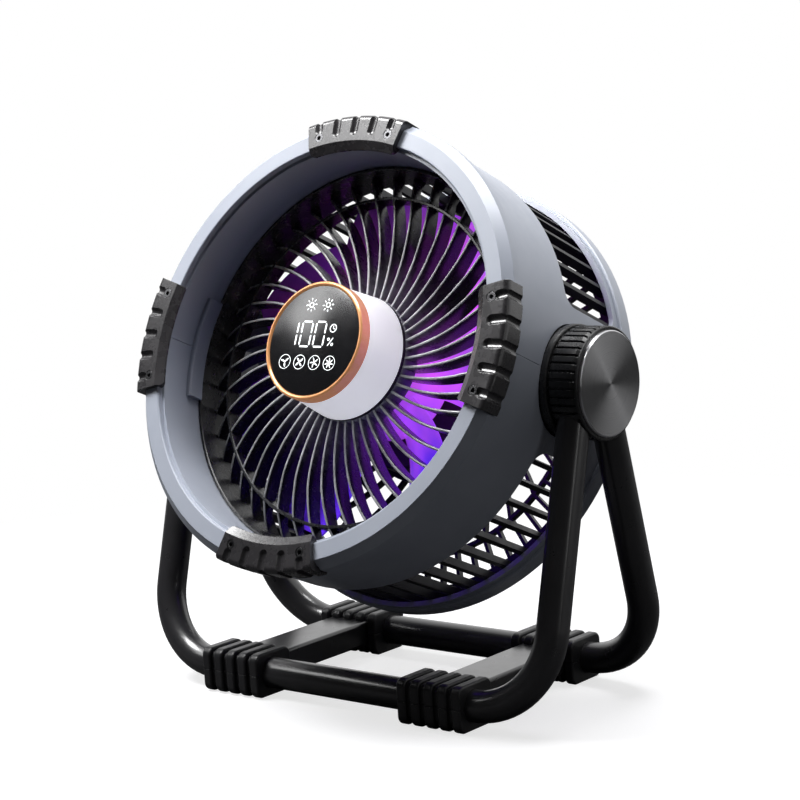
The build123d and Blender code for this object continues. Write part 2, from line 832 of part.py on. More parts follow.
with BuildPart() as rear_ring:
    with BuildSketch(section()):
        with BuildLine():
            Polyline(
                (rear_ring_inner, -rear_ring_back),
                (rear_ring_back_radius, -rear_ring_back),
                (rear_ring_radius, -rear_ring_back + rear_ring_bevel),
                (rear_ring_radius, -body_back - seat_gap - rear_ring_edge),
                (rear_ring_radius - rear_ring_edge, -body_back - seat_gap),
                (body_radius - body_wall, -body_back - seat_gap),
                (body_radius - body_wall, -rear_ring_back + rear_ring_lip),
                (rear_ring_inner, -rear_ring_back + rear_ring_lip),
                close=True,
            )
        make_face()
    revolve(axis=fan_axis)
    with BuildSketch(head.offset(-rear_ring_back)):
        with PolarLocations(guard_screw_circle, guard_screw_count, start_angle=guard_screw_start):
            Circle(small_screw_head_radius + seat_gap)
    extrude(amount=small_screw_head_height + seat_gap, mode=Mode.SUBTRACT)
    with BuildSketch(head.offset(-rear_ring_back)):
        with PolarLocations(guard_screw_circle, guard_screw_count, start_angle=guard_screw_start):
            Circle(small_screw_radius + seat_gap)
    extrude(amount=rear_ring_lip, mode=Mode.SUBTRACT)
save(rear_ring, "rear_ring")

# ================================================================= bumpers on the front ring
bumper_head_seat = ring_front + seat_gap + bumper_floor
bumper_screw_back = ring_front + overlap - bumper_screw_length


def make_bumper(angle):
    """Screwed-on corner guard that wraps the mouth's edge, the front ring and its flange."""
    plate_front = ring_front + seat_gap + bumper_plate
    seat_front = ring_front - flange_bevel * (seat_radius - ring_radius) / (flange_radius - ring_radius)
    lip_radius = bumper_inner - bumper_lip_reach
    lip_front = plate_front - bumper_lip_drop
    middle_flutes = [(step * bumper_flute_step, bumper_flute_start) for step in (-1, 0, 1)]
    screw_flutes = [(step * bumper_screw_angle, bumper_screw_flute_start) for step in (-1, 1)]
    with BuildPart() as bumper:
        with BuildSketch(section(angle - bumper_span / 2)):
            with BuildLine():
                Polyline(
                    (mouth_radius - seat_gap, ring_front + seat_gap),
                    (mouth_radius - seat_gap, ring_front - mouth_step + seat_gap),
                    (lip_radius, lip_front - bumper_lip_edge),
                    (lip_radius, lip_front),
                    (bumper_inner, plate_front),
                    (bumper_radius - bumper_round, plate_front),
                )
                RadiusArc(
                    (bumper_radius - bumper_round, plate_front),
                    (bumper_radius, plate_front - bumper_round),
                    bumper_round,
                )
                Polyline(
                    (bumper_radius, plate_front - bumper_round),
                    (bumper_radius, bumper_back + bumper_edge),
                    (bumper_radius - bumper_edge, bumper_back),
                    (seat_radius + seat_gap, bumper_back),
                    (seat_radius + seat_gap, seat_front + seat_gap),
                    (ring_radius, ring_front + seat_gap),
                    (mouth_radius - seat_gap, ring_front + seat_gap),
                )
            make_face()
        revolve(axis=fan_axis, revolution_arc=bumper_span)
        lip_corners = bumper.edges().filter_by(Axis(pivot, forward)).sort_by_distance(pivot)[:2]
        fillet(lip_corners, radius=bumper_lip_round)
        for turn, flute_start in middle_flutes + screw_flutes:
            outward = radial(angle + turn)
            flute_end = Plane(
                origin=head_point(
                    flute_start, angle + turn, plate_front - bumper_flute_depth + bumper_flute_radius
                ),
                x_dir=forward,
                z_dir=outward,
            )
            with Locations(flute_end):
                Sphere(bumper_flute_radius, mode=Mode.SUBTRACT)
            with BuildSketch(flute_end):
                Circle(bumper_flute_radius)
            extrude(amount=bumper_radius + overlap - flute_start, mode=Mode.SUBTRACT)
            flute_side = Plane(
                origin=head_point(
                    bumper_radius - bumper_flute_side_depth + bumper_flute_radius,
                    angle + turn,
                    bumper_back - overlap,
                ),
                x_dir=outward,
                z_dir=forward,
            )
            with BuildSketch(flute_side):
                Circle(bumper_flute_radius)
            extrude(amount=plate_front - bumper_back + 2 * overlap, mode=Mode.SUBTRACT)
        with BuildSketch(head.offset(ring_front)):
            with Locations(*bumper_screw_points(angle)):
                Circle(bumper_screw_radius + seat_gap)
        extrude(amount=bumper_plate + overlap, mode=Mode.SUBTRACT)
        with BuildSketch(head.offset(bumper_head_seat)):
            with Locations(*bumper_screw_points(angle)):
                Circle(bumper_screw_head_radius + seat_gap)
        extrude(amount=bumper_plate, mode=Mode.SUBTRACT)
    return bumper


for bumper_name, angle in bumper_angles.items():
    bumper = make_bumper(angle)
    save(bumper, f"bumper_{bumper_name}")

with BuildPart() as bumper_screws:
    for angle in bumper_angles.values():
        with BuildSketch(head.offset(bumper_screw_back)):
            with Locations(*bumper_screw_points(angle)):
                Circle(bumper_screw_radius)
        extrude(amount=bumper_head_seat - bumper_screw_back)
        with BuildSketch(head.offset(bumper_head_seat)):
            with Locations(*bumper_screw_points(angle)):
                Circle(bumper_screw_head_radius)
        extrude(amount=bumper_screw_head_height)
        with BuildSketch(head.offset(bumper_head_seat + bumper_screw_head_height)):
            with Locations(*bumper_screw_points(angle)):
                RegularPolygon(hex_socket_across / 2, 6, major_radius=False)
        extrude(amount=-hex_socket_depth, mode=Mode.SUBTRACT)
save(bumper_screws, "bumper_screws")

# ================================================================= joint covers inside the mouth


def make_joint_cover(angle):
    """Curved plate inside the mouth that covers the seam between the two shell halves."""
    outer = duct_radius - seat_gap
    with BuildPart() as cover:
        with BuildSketch(section(angle - cover_span / 2)):
            with BuildLine():
                Polyline(
                    (outer, collar_front + seat_gap),
                    (outer, cover_front),
                    (outer - cover_raise + cover_edge, cover_front),
                    (outer - cover_raise, cover_front - cover_edge),
                    (outer - cover_raise, collar_front + seat_gap),
                    close=True,
                )
            make_face()
        revolve(axis=fan_axis, revolution_arc=cover_span)
    return cover


for side_name in sides:
    joint_cover = make_joint_cover(bumper_angles[side_name])
    save(joint_cover, f"joint_cover_{side_name}")

# ================================================================= front grille
collar_radius = duct_radius - seat_gap


def fin_angle(radius):
    """Turn of a front fin, in degrees, at this radius: it curls the more the further out it is."""
    out = radius - grille_hub_radius
    return fin_start_turn + fin_turn_per_mm * out + fin_curl * out * out


def fin_point(radius):
    turn = math.radians(fin_angle(radius))
    return (radius * math.cos(turn), radius * math.sin(turn))


with BuildSketch(head.offset(collar_back)) as fin_outline:
    with BuildLine() as fin_line:
        ThreePointArc(
            fin_point(grille_hub_radius - overlap),
            fin_point((grille_hub_radius + collar_radius) / 2),
            fin_point(collar_radius - collar_wall / 2),
        )
    trace(line_width=fin_thickness)

with BuildPart() as front_grille:
    with BuildSketch(head.offset(collar_back)):
        for fin in range(fin_count):
            add(fin_outline.sketch_local.rotate(Axis.Z, fin * 360 / fin_count))
    extrude(amount=fin_front_hub - collar_back)
    with BuildSketch(section()):
        with BuildLine():
            Polyline(
                (grille_hub_radius - overlap, fin_back),
                (grille_hub_radius - overlap, fin_front_hub),
                (fin_flat_radius, fin_front_hub),
                (middle_ring_radius, fin_front_ring),
                (fin_shoulder_radius, fin_front_shoulder),
                (collar_radius - collar_wall / 2, fin_front_rim),
                (collar_radius - collar_wall / 2, collar_back),
                (fin_heel_radius, fin_back),
                close=True,
            )
        make_face()
    revolve(axis=fan_axis, mode=Mode.INTERSECT)
    with BuildSketch(section()):
        with BuildLine():
            Polyline(
                (0, fin_back),
                (grille_hub_radius, fin_back),
                (grille_hub_radius, fin_front_hub),
                (grille_hub_radius - grille_hub_wall, fin_front_hub),
                (grille_hub_radius - grille_hub_wall, fin_back + grille_floor),
                (0, fin_back + grille_floor),
                close=True,
            )
        make_face()
        with BuildLine():
            Polyline(
                (middle_ring_radius - middle_ring_wall / 2, fin_back),
                (middle_ring_radius + middle_ring_wall / 2, fin_back),
                (middle_ring_radius + middle_ring_wall / 2, fin_front_ring),
                (middle_ring_radius - middle_ring_wall / 2, fin_front_ring),
                close=True,
            )
        make_face()
        with BuildLine():
            Polyline(
                (collar_radius - collar_wall, collar_back),
                (collar_radius, collar_back),
                (collar_radius, collar_front),
                (collar_radius - collar_wall, collar_front),
                close=True,
            )
        make_face()
    revolve(axis=fan_axis)
    with BuildSketch(head.offset(fin_back)):
        with PolarLocations(lamp_screw_circle, lamp_screw_count):
            Circle(small_screw_radius + seat_gap)
    extrude(amount=grille_floor, mode=Mode.SUBTRACT)
save(front_grille, "front_grille")

# ================================================================= rear basket
basket_radius = body_radius - body_wall - seat_gap
basket_front = window_front - seat_gap
bar_middle = basket_radius - basket_bar_depth / 2
outer_hoop_radius = max(rear_hoop_radii)
rib_length = bar_middle - outer_hoop_radius
flange_width = basket_radius - rear_ring_inner
hub_seat_radius = battery_radius + seat_gap


def rear_rib_point(radius):
    """Middle of a curled rear rib at this radius: it meets the outer hoop in line with a side bar."""
    turn = math.radians(basket_bar_start + rear_rib_turn_per_mm * (outer_hoop_radius - radius))
    return (radius * math.cos(turn), radius * math.sin(turn))


with BuildSketch(head.offset(-basket_back)) as rear_rib_outline:
    with BuildLine() as rear_rib_line:
        ThreePointArc(
            rear_rib_point(hub_seat_radius + overlap),
            rear_rib_point((hub_seat_radius + outer_hoop_radius) / 2),
            rear_rib_point(outer_hoop_radius),
        )
    trace(line_width=rear_rib_thickness)

with BuildPart() as rear_basket:
    with BuildSketch(head.offset(-basket_back)):
        with PolarLocations(bar_middle, basket_bar_count, start_angle=basket_bar_start):
            Rectangle(basket_bar_depth, basket_bar_width)
    extrude(amount=basket_back + basket_front)
    with BuildSketch(head.offset(-basket_back)):
        with PolarLocations(bar_middle - rib_length / 2, basket_bar_count, start_angle=basket_bar_start):
            Rectangle(rib_length, rear_rib_thickness)
        for rib in range(0, basket_bar_count, 2):
            add(rear_rib_outline.sketch_local.rotate(Axis.Z, rib * basket_step))
    extrude(amount=basket_face)
    with BuildSketch(section()):
        with Locations((bar_middle, basket_front - basket_hoop_width / 2)):
            Rectangle(basket_bar_depth, basket_hoop_width)
        for ring in rear_hoop_radii:
            with Locations((ring, -basket_back + basket_face / 2)):
                Rectangle(rear_hoop_width, basket_face)
        with Locations((basket_radius - flange_width / 2, -basket_back + basket_face / 2)):
            Rectangle(flange_width, basket_face)
        with Locations((hub_seat_radius + hub_seat_wall / 2, -basket_back + hub_seat_depth / 2)):
            Rectangle(hub_seat_wall, hub_seat_depth)
    revolve(axis=fan_axis)
    for side in sides.values():
        with BuildSketch(side_plane(side, duct_radius - overlap)):
            Circle(pocket_radius + boss_wall + seat_gap)
        extrude(amount=body_radius - duct_radius + overlap, mode=Mode.SUBTRACT)
    with BuildSketch(head.offset(-basket_back)):
        with PolarLocations(guard_screw_circle, guard_screw_count, start_angle=guard_screw_start):
            Circle(small_screw_radius + seat_gap)
    extrude(amount=guard_screw_length, mode=Mode.SUBTRACT)
save(rear_basket, "rear_basket")

# ================================================================= lamp and display hub
base_floor_back = fin_back + grille_floor + seat_gap
base_flange_back = fin_front_hub + seat_gap
base_wall_radius = grille_hub_radius - grille_hub_wall - seat_gap
base_front = base_flange_back + lamp_base_height
diffuser_back = base_front + seat_gap
board_seat = bezel_back + seat_gap

with BuildPart() as lamp_base:
    with BuildSketch(section()):
        with BuildLine():
            Polyline(
                (0, base_floor_back),
                (base_wall_radius, base_floor_back),
                (base_wall_radius, base_flange_back),
                (diffuser_base_radius, base_flange_back),
                (diffuser_base_radius, base_front),
                (base_wall_radius - lamp_base_height, base_front),
                (base_wall_radius - lamp_base_height, base_floor_back + lamp_base_height),
                (0, base_floor_back + lamp_base_height),
                close=True,
            )
        make_face()
    revolve(axis=fan_axis)
    with BuildSketch(head.offset(base_floor_back)):
        with PolarLocations(lamp_screw_circle, lamp_screw_count):
            Circle(small_screw_radius + seat_gap)
    extrude(amount=lamp_base_height, mode=Mode.SUBTRACT)
save(lamp_base, "lamp_base")

with BuildPart() as lamp_screws:
    with BuildSketch(head.offset(fin_back)):
        with PolarLocations(lamp_screw_circle, lamp_screw_count):
            Circle(small_screw_radius)
    extrude(amount=grille_floor + seat_gap + lamp_base_height)
    with BuildSketch(head.offset(fin_back)):
        with PolarLocations(lamp_screw_circle, lamp_screw_count):
            Circle(small_screw_head_radius)
    extrude(amount=-small_screw_head_height)
save(lamp_screws, "lamp_screws")

with BuildPart() as lamp_board:
    with BuildSketch(head.offset(diffuser_back)):
        Circle(diffuser_base_radius - diffuser_wall - 2 * seat_gap)
        Circle(lamp_board_inner, mode=Mode.SUBTRACT)
    extrude(amount=board_thickness)
save(lamp_board, "lamp_board")

with BuildPart() as lamp_leds:
    with BuildSketch(head.offset(diffuser_back + board_thickness)):
        with PolarLocations(led_circle, led_count):
            RectangleRounded(led_size, led_size, led_size / 8)
    extrude(amount=led_height)
save(lamp_leds, "lamp_leds")

with BuildPart() as lamp_diffuser:
    with BuildSketch(section()):
        with BuildLine():
            Polyline(
                (diffuser_base_radius, diffuser_back),
                (diffuser_top_radius, bezel_back),
                (diffuser_top_radius - diffuser_wall, bezel_back),
                (diffuser_base_radius - diffuser_wall, diffuser_back),
                close=True,
            )
        make_face()
    revolve(axis=fan_axis)
save(lamp_diffuser, "lamp_diffuser")

lens_back = bezel_front - lens_recess - lens_thickness
bezel_bore = diffuser_top_radius - diffuser_wall
with BuildPart() as bezel_ring:
    with BuildSketch(section()):
        with BuildLine():
            Polyline(
                (bezel_radius, board_seat),
                (bezel_radius, bezel_front - bezel_bevel),
                (bezel_radius - bezel_bevel, bezel_front),
                (bezel_bore + bezel_bevel, bezel_front),
                (bezel_bore, bezel_front - bezel_bevel),
                (bezel_bore, lens_back - seat_gap),
                (bezel_bore - bezel_lip, lens_back - seat_gap),
                (bezel_bore - bezel_lip, lens_back - bezel_shelf),
                (bezel_bore, lens_back - bezel_shelf),
                (bezel_bore, board_seat),
                close=True,
            )
        make_face()
    revolve(axis=fan_axis)
save(bezel_ring, "bezel_ring")

with BuildPart() as display_lens:
    with BuildSketch(head.offset(lens_back)):
        Circle(bezel_bore - seat_gap)
    extrude(amount=lens_thickness)
    chamfer(display_lens.faces().sort_by(fan_axis)[-1].edges(), length=lens_bevel)
save(display_lens, "display_lens")

with BuildPart() as display_board:
    with BuildSketch(head.offset(lens_back - bezel_shelf - seat_gap - board_thickness)):
        Circle(bezel_bore - 2 * seat_gap)
    extrude(amount=board_thickness)
save(display_board, "display_board")

with BuildPart() as display_carrier:
    carrier_back = base_floor_back + lamp_base_height + seat_gap
    carrier_front = lens_back - bezel_shelf - 2 * seat_gap - board_thickness
    with BuildSketch(section()):
        with BuildLine():
            Polyline(
                (carrier_radius - carrier_wall, carrier_back),
                (carrier_radius, carrier_back),
                (carrier_radius, carrier_front - carrier_wall),
                (bezel_bore - 2 * seat_gap, carrier_front - carrier_wall),
                (bezel_bore - 2 * seat_gap, carrier_front),
                (carrier_radius - carrier_wall, carrier_front),
                close=True,
            )
        make_face()
    revolve(axis=fan_axis)
save(display_carrier, "display_carrier")

# ================================================================= fan wheel
blade_root = wheel_hub_radius - blade_inset
blade_radii = [blade_root + (wheel_radius + blade_overrun - blade_root) * step / 3 for step in range(4)]


def blade_share(radius):
    return (radius - blade_radii[0]) / (blade_radii[-1] - blade_radii[0])


def blade_section(radius):
    """Plane across one blade at this radius: x runs along the blade's chord, from inlet to outlet."""
    share = blade_share(radius)
    turn = blade_phase - blade_sweep * share * share
    pitch = math.radians(blade_root_pitch + (blade_tip_pitch - blade_root_pitch) * share)
    around = radial(turn).cross(forward) * -1
    chord_direction = around * math.cos(pitch) + forward * math.sin(pitch)
    return Plane(
        origin=head_point(radius, turn, (wheel_front - wheel_back) / 2),
        x_dir=chord_direction,
        z_dir=radial(turn),
    )


with BuildPart() as blade:
    for radius in blade_radii:
        chord = blade_root_chord + (blade_tip_chord - blade_root_chord) * blade_share(radius)
        camber = chord * blade_camber
        with BuildSketch(blade_section(radius)):
            with BuildLine():
                ThreePointArc(
                    (-chord / 2, blade_edge / 2),
                    (0, camber + blade_thickness / 2),
                    (chord / 2, blade_edge / 2),
                )
                Line((chord / 2, blade_edge / 2), (chord / 2, -blade_edge / 2))
                ThreePointArc(
                    (chord / 2, -blade_edge / 2),
                    (0, camber - blade_thickness / 2),
                    (-chord / 2, -blade_edge / 2),
                )
                Line((-chord / 2, -blade_edge / 2), (-chord / 2, blade_edge / 2))
            make_face()
    loft()
    with BuildSketch(section()):
        with BuildLine():
            Polyline(
                (wheel_hub_radius - wheel_hub_wall / 2, -blade_reach),
                (wheel_radius, -blade_reach),
                (wheel_radius, blade_reach),
                (wheel_hub_radius - wheel_hub_wall / 2, blade_reach),
                close=True,
            )
        make_face()
    revolve(axis=fan_axis, mode=Mode.INTERSECT)

with BuildPart() as fan_wheel:
    with BuildSketch(section()):
        with BuildLine():
            Polyline(
                (shaft_radius + seat_gap, wheel_front - wheel_disc),
                (shaft_radius + seat_gap, wheel_front),
                (wheel_hub_radius - wheel_nose, wheel_front),
            )
            RadiusArc(
                (wheel_hub_radius - wheel_nose, wheel_front),
                (wheel_hub_radius, wheel_front - wheel_nose),
                wheel_nose,
            )
            Polyline(
                (wheel_hub_radius, wheel_front - wheel_nose),
                (wheel_hub_radius, -wheel_back),
                (wheel_hub_radius - wheel_hub_wall, -wheel_back),
                (wheel_hub_radius - wheel_hub_wall, wheel_front - wheel_disc),
                (shaft_radius + seat_gap, wheel_front - wheel_disc),
            )
        make_face()
    revolve(axis=fan_axis)
    for number in range(blade_count):
        add(blade.part.rotate(fan_axis, number * 360 / blade_count))
save(fan_wheel, "fan_wheel")

# ================================================================= motor
rotor_front = wheel_front - wheel_disc - seat_gap
with BuildPart() as rotor_cup:
    with BuildSketch(section()):
        with BuildLine():
            Polyline(
                (shaft_radius + seat_gap, rotor_front - rotor_wall),
                (shaft_radius + seat_gap, rotor_front),
                (rotor_radius, rotor_front),
                (rotor_radius, -rotor_back),
                (rotor_radius - rotor_wall, -rotor_back),
                (rotor_radius - rotor_wall, rotor_front - rotor_wall),
                close=True,
            )
        make_face()
    revolve(axis=fan_axis)
save(rotor_cup, "rotor_cup")

magnet_radius = rotor_radius - rotor_wall - seat_gap
with BuildPart() as magnet_ring:
    with BuildSketch(head.offset(-magnet_back)):
        Circle(magnet_radius)
        Circle(magnet_radius - magnet_thickness, mode=Mode.SUBTRACT)
    extrude(amount=magnet_back + magnet_front)
save(magnet_ring, "magnet_ring")

stator_radius = magnet_radius - magnet_thickness - air_gap
with BuildPart() as stator:
    with BuildSketch(head.offset(-stator_back)):
        Circle(stator_hub_radius)
        with PolarLocations((stator_radius + stator_hub_radius) / 2, tooth_count):
            Rectangle(stator_radius - stator_hub_radius + overlap, tooth_width)
        with PolarLocations(stator_radius - tooth_tip / 2, tooth_count):
            Rectangle(tooth_tip + overlap, tooth_span)
        Circle(bearing_tube_radius + seat_gap, mode=Mode.SUBTRACT)
    extrude(amount=stator_back + stator_front)
    with BuildSketch(section()):
        with BuildLine():
            Polyline(
                (bearing_tube_radius + seat_gap, -stator_back),
                (stator_radius, -stator_back),
                (stator_radius, stator_front),
                (bearing_tube_radius + seat_gap, stator_front),
                close=True,
            )
        make_face()
    revolve(axis=fan_axis, mode=Mode.INTERSECT)
save(stator, "stator")

plate_back = -battery_front + seat_gap
with BuildPart() as motor_base:
    with BuildSketch(section()):
        with BuildLine():
            Polyline(
                (0, plate_back),
                (motor_plate_radius, plate_back),
                (motor_plate_radius, plate_back + motor_plate),
                (bearing_tube_radius + tube_collar, plate_back + motor_plate),
                (bearing_tube_radius + tube_collar, -stator_back - seat_gap),
                (bearing_tube_radius, -stator_back - seat_gap),
                (bearing_tube_radius, stator_front),
                (bearing_radius + running_gap, stator_front),
                (bearing_radius + running_gap, plate_back + motor_plate),
                (0, plate_back + motor_plate),
                close=True,
            )
        make_face()
    revolve(axis=fan_axis)
    with BuildSketch(head.offset(plate_back)):
        with PolarLocations(motor_screw_circle, motor_screw_count):
            Circle(small_screw_radius + seat_gap)
    extrude(amount=motor_plate, mode=Mode.SUBTRACT)
save(motor_base, "motor_base")

with BuildPart() as motor_screws:
    with BuildSketch(head.offset(plate_back - seat_gap - battery_wall)):
        with PolarLocations(motor_screw_circle, motor_screw_count):
            Circle(small_screw_radius)
    extrude(amount=battery_wall + seat_gap + motor_plate)
    with BuildSketch(head.offset(plate_back + motor_plate)):
        with PolarLocations(motor_screw_circle, motor_screw_count):
            Circle(small_screw_head_radius)
    extrude(amount=small_screw_head_height)
save(motor_screws, "motor_screws")

with BuildPart() as bearings:
    for bearing_start in (plate_back + motor_plate + seat_gap, stator_front - bearing_width - seat_gap):
        with BuildSketch(head.offset(bearing_start)):
            Circle(bearing_radius)
            Circle(shaft_radius + running_gap, mode=Mode.SUBTRACT)
        extrude(amount=bearing_width)
save(bearings, "bearings")

with BuildPart() as rotor_shaft:
    with BuildSketch(head.offset(plate_back + motor_plate + shaft_end_gap)):
        Circle(shaft_radius)
    extrude(amount=wheel_front + shaft_nut_height - plate_back - motor_plate - shaft_end_gap)
    chamfer(rotor_shaft.faces().sort_by(fan_axis)[-1].edges(), length=shaft_bevel)
save(rotor_shaft, "rotor_shaft")

with BuildPart() as wheel_nut:
    with BuildSketch(head.offset(wheel_front + seat_gap)):
        RegularPolygon(shaft_nut_across / 2, 6, major_radius=False)
        Circle(shaft_radius + running_gap, mode=Mode.SUBTRACT)
    extrude(amount=shaft_nut_height - seat_gap)
save(wheel_nut, "wheel_nut")

# ================================================================= battery housing and back cover
cells_front = -battery_front - battery_wall - seat_gap
cover_front_face = -battery_back - seat_gap

with BuildPart() as battery_housing:
    with BuildSketch(section()):
        with BuildLine():
            Polyline(
                (0, -battery_front),
                (battery_radius - battery_edge, -battery_front),
                (battery_radius, -battery_front - battery_edge),
                (battery_radius, -battery_back),
                (battery_radius - battery_wall, -battery_back),
                (battery_radius - battery_wall, -battery_front - battery_wall),
                (0, -battery_front - battery_wall),
                close=True,
            )
        make_face()
    revolve(axis=fan_axis)
    with BuildSketch(head.offset(-battery_back)):
        with PolarLocations(rear_screw_circle, rear_screw_count, start_angle=rear_screw_start):
            Circle(rear_boss_radius)
    extrude(amount=battery_back - rear_boss_depth)
    with BuildSketch(head.offset(-battery_back)):
        with PolarLocations(rear_screw_circle, rear_screw_count, start_angle=rear_screw_start):
            Circle(small_screw_radius + running_gap)
    extrude(amount=rear_screw_length + overlap, mode=Mode.SUBTRACT)
    with BuildSketch(head.offset(-battery_front)):
        with PolarLocations(motor_screw_circle, motor_screw_count):
            Circle(small_screw_radius + running_gap)
    extrude(amount=-battery_wall, mode=Mode.SUBTRACT)
save(battery_housing, "battery_housing")

with BuildPart() as battery_cells:
    for number in range(cell_count):
        row = (number - (cell_count - 1) / 2) * cell_pitch
        cell_start = head_point(0, 0, cells_front - cell_radius) + upward * row - sideways * cell_length / 2
        with BuildSketch(Plane(origin=cell_start, x_dir=forward, z_dir=sideways)):
            Circle(cell_radius)
        extrude(amount=cell_length)
save(battery_cells, "battery_cells")

with BuildPart() as control_board:
    with BuildSketch(head.offset(-control_board_back)):
        Circle(control_board_radius)
    extrude(amount=board_thickness)
save(control_board, "control_board")

with BuildPart() as charge_port:
    with BuildSketch(head.offset(-control_board_back - seat_gap)):
        with Locations((0, -port_drop)):
            SlotOverall(port_width, port_height)
    extrude(amount=-port_length)
    with BuildSketch(head.offset(-control_board_back - seat_gap - port_length)):
        with Locations((0, -port_drop)):
            SlotOverall(port_width - 2 * port_wall, port_height - 2 * port_wall)
            Rectangle(port_tongue_width, port_tongue, mode=Mode.SUBTRACT)
    extrude(amount=port_length - port_floor, mode=Mode.SUBTRACT)
save(charge_port, "charge_port")

with BuildPart() as back_cover:
    with BuildSketch(head.offset(cover_front_face)):
        Circle(battery_radius)
    extrude(amount=-rear_cover)
    chamfer(back_cover.faces().sort_by(fan_axis)[0].edges(), length=battery_edge)
    with BuildSketch(head.offset(cover_front_face)):
        with PolarLocations(cover_post_circle, cover_post_count):
            Circle(cover_post_radius)
    extrude(amount=battery_back - control_board_back)
    with BuildSketch(head.offset(cover_front_face)):
        with Locations((0, -port_drop)):
            SlotOverall(port_width + 2 * seat_gap, port_height + 2 * seat_gap)
        with PolarLocations(rear_screw_circle, rear_screw_count, start_angle=rear_screw_start):
            Circle(small_screw_radius + seat_gap)
    extrude(amount=-rear_cover, mode=Mode.SUBTRACT)
    with BuildSketch(head.offset(cover_front_face - rear_cover)):
        with PolarLocations(rear_screw_circle, rear_screw_count, start_angle=rear_screw_start):
            Circle(small_screw_head_radius + seat_gap)
    extrude(amount=small_screw_head_height, mode=Mode.SUBTRACT)
save(back_cover, "back_cover")

with BuildPart() as rear_screws:
    cover_seat = cover_front_face - rear_cover + small_screw_head_height
    ring_seat = -rear_ring_back + small_screw_head_height + seat_gap
    for seat, circle, count, start, length in (
        (cover_seat, rear_screw_circle, rear_screw_count, rear_screw_start, rear_screw_length),
        (ring_seat, guard_screw_circle, guard_screw_count, guard_screw_start, guard_screw_length),
    ):
        with BuildSketch(head.offset(seat)):
            with PolarLocations(circle, count, start_angle=start):
                Circle(small_screw_radius)
        extrude(amount=length)
        with BuildSketch(head.offset(seat)):
            with PolarLocations(circle, count, start_angle=start):
                Circle(small_screw_head_radius)
        extrude(amount=-small_screw_head_height)
save(rear_screws, "rear_screws")
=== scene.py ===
import json
import math

import bmesh
import bpy
from mathutils import Matrix, Vector


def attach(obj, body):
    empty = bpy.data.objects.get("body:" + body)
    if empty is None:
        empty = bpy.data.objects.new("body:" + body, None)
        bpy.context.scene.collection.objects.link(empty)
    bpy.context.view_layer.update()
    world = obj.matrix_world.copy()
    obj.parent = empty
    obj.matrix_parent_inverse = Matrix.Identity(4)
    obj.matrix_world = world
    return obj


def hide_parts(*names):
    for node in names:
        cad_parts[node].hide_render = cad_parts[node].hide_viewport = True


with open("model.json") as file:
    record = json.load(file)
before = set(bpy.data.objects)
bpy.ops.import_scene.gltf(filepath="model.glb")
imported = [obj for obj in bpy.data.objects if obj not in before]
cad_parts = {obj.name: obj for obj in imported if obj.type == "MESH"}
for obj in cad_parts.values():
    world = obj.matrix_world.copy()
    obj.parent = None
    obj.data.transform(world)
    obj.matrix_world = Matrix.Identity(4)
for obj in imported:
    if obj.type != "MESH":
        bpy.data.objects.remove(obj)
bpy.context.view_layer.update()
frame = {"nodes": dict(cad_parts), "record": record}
nodes = frame["nodes"]

# ---------------------------------------------------------------- the head's own directions
MM = 0.001
TILT = math.radians(23.6)  # how far the head looks up at rest
PIVOT = Vector((0, 0.00725, 0.1882))  # middle of the tilt axis, in metres
RIGHT = Vector((1, 0, 0))
FORWARD = Vector((0, -math.cos(TILT), math.sin(TILT)))
UP = Vector((0, math.sin(TILT), math.cos(TILT)))


def head(right, up, ahead):
    """A point on the head, in millimetres right of, above and ahead of the tilt axis."""
    return PIVOT + (RIGHT * right + UP * up + FORWARD * ahead) * MM


def polar(radius, angle, ahead):
    """The same by radius and angle in radians round the fan axis, from +X towards the top."""
    return head(radius * math.cos(angle), radius * math.sin(angle), ahead)


def outward(degrees):
    """The direction away from the fan axis at this angle, from +X towards the top."""
    angle = math.radians(degrees)
    return RIGHT * math.cos(angle) + UP * math.sin(angle)


# ---------------------------------------------------------------- mesh helpers
def add_mesh(name, points, faces, material, body, smooth=True):
    """Makes a piece from points and faces, and lets it ride on a body."""
    mesh = bpy.data.meshes.new(name)
    mesh.from_pydata([tuple(point) for point in points], [], faces)
    mesh.update()
    mesh.validate()
    for polygon in mesh.polygons:
        polygon.use_smooth = smooth
    mesh.materials.append(material)
    piece = bpy.data.objects.new(name, mesh)
    bpy.context.scene.collection.objects.link(piece)
    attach(piece, body)
    return piece


def sharpen(piece, degrees):
    """Turns the faces outward and keeps the edges sharp that turn by this angle or more."""
    limit = math.radians(degrees)
    work = bmesh.new()
    work.from_mesh(piece.data)
    bmesh.ops.recalc_face_normals(work, faces=work.faces)
    for edge in work.edges:
        edge.smooth = len(edge.link_faces) == 2 and edge.calc_face_angle(0) < limit
    work.to_mesh(piece.data)
    work.free()


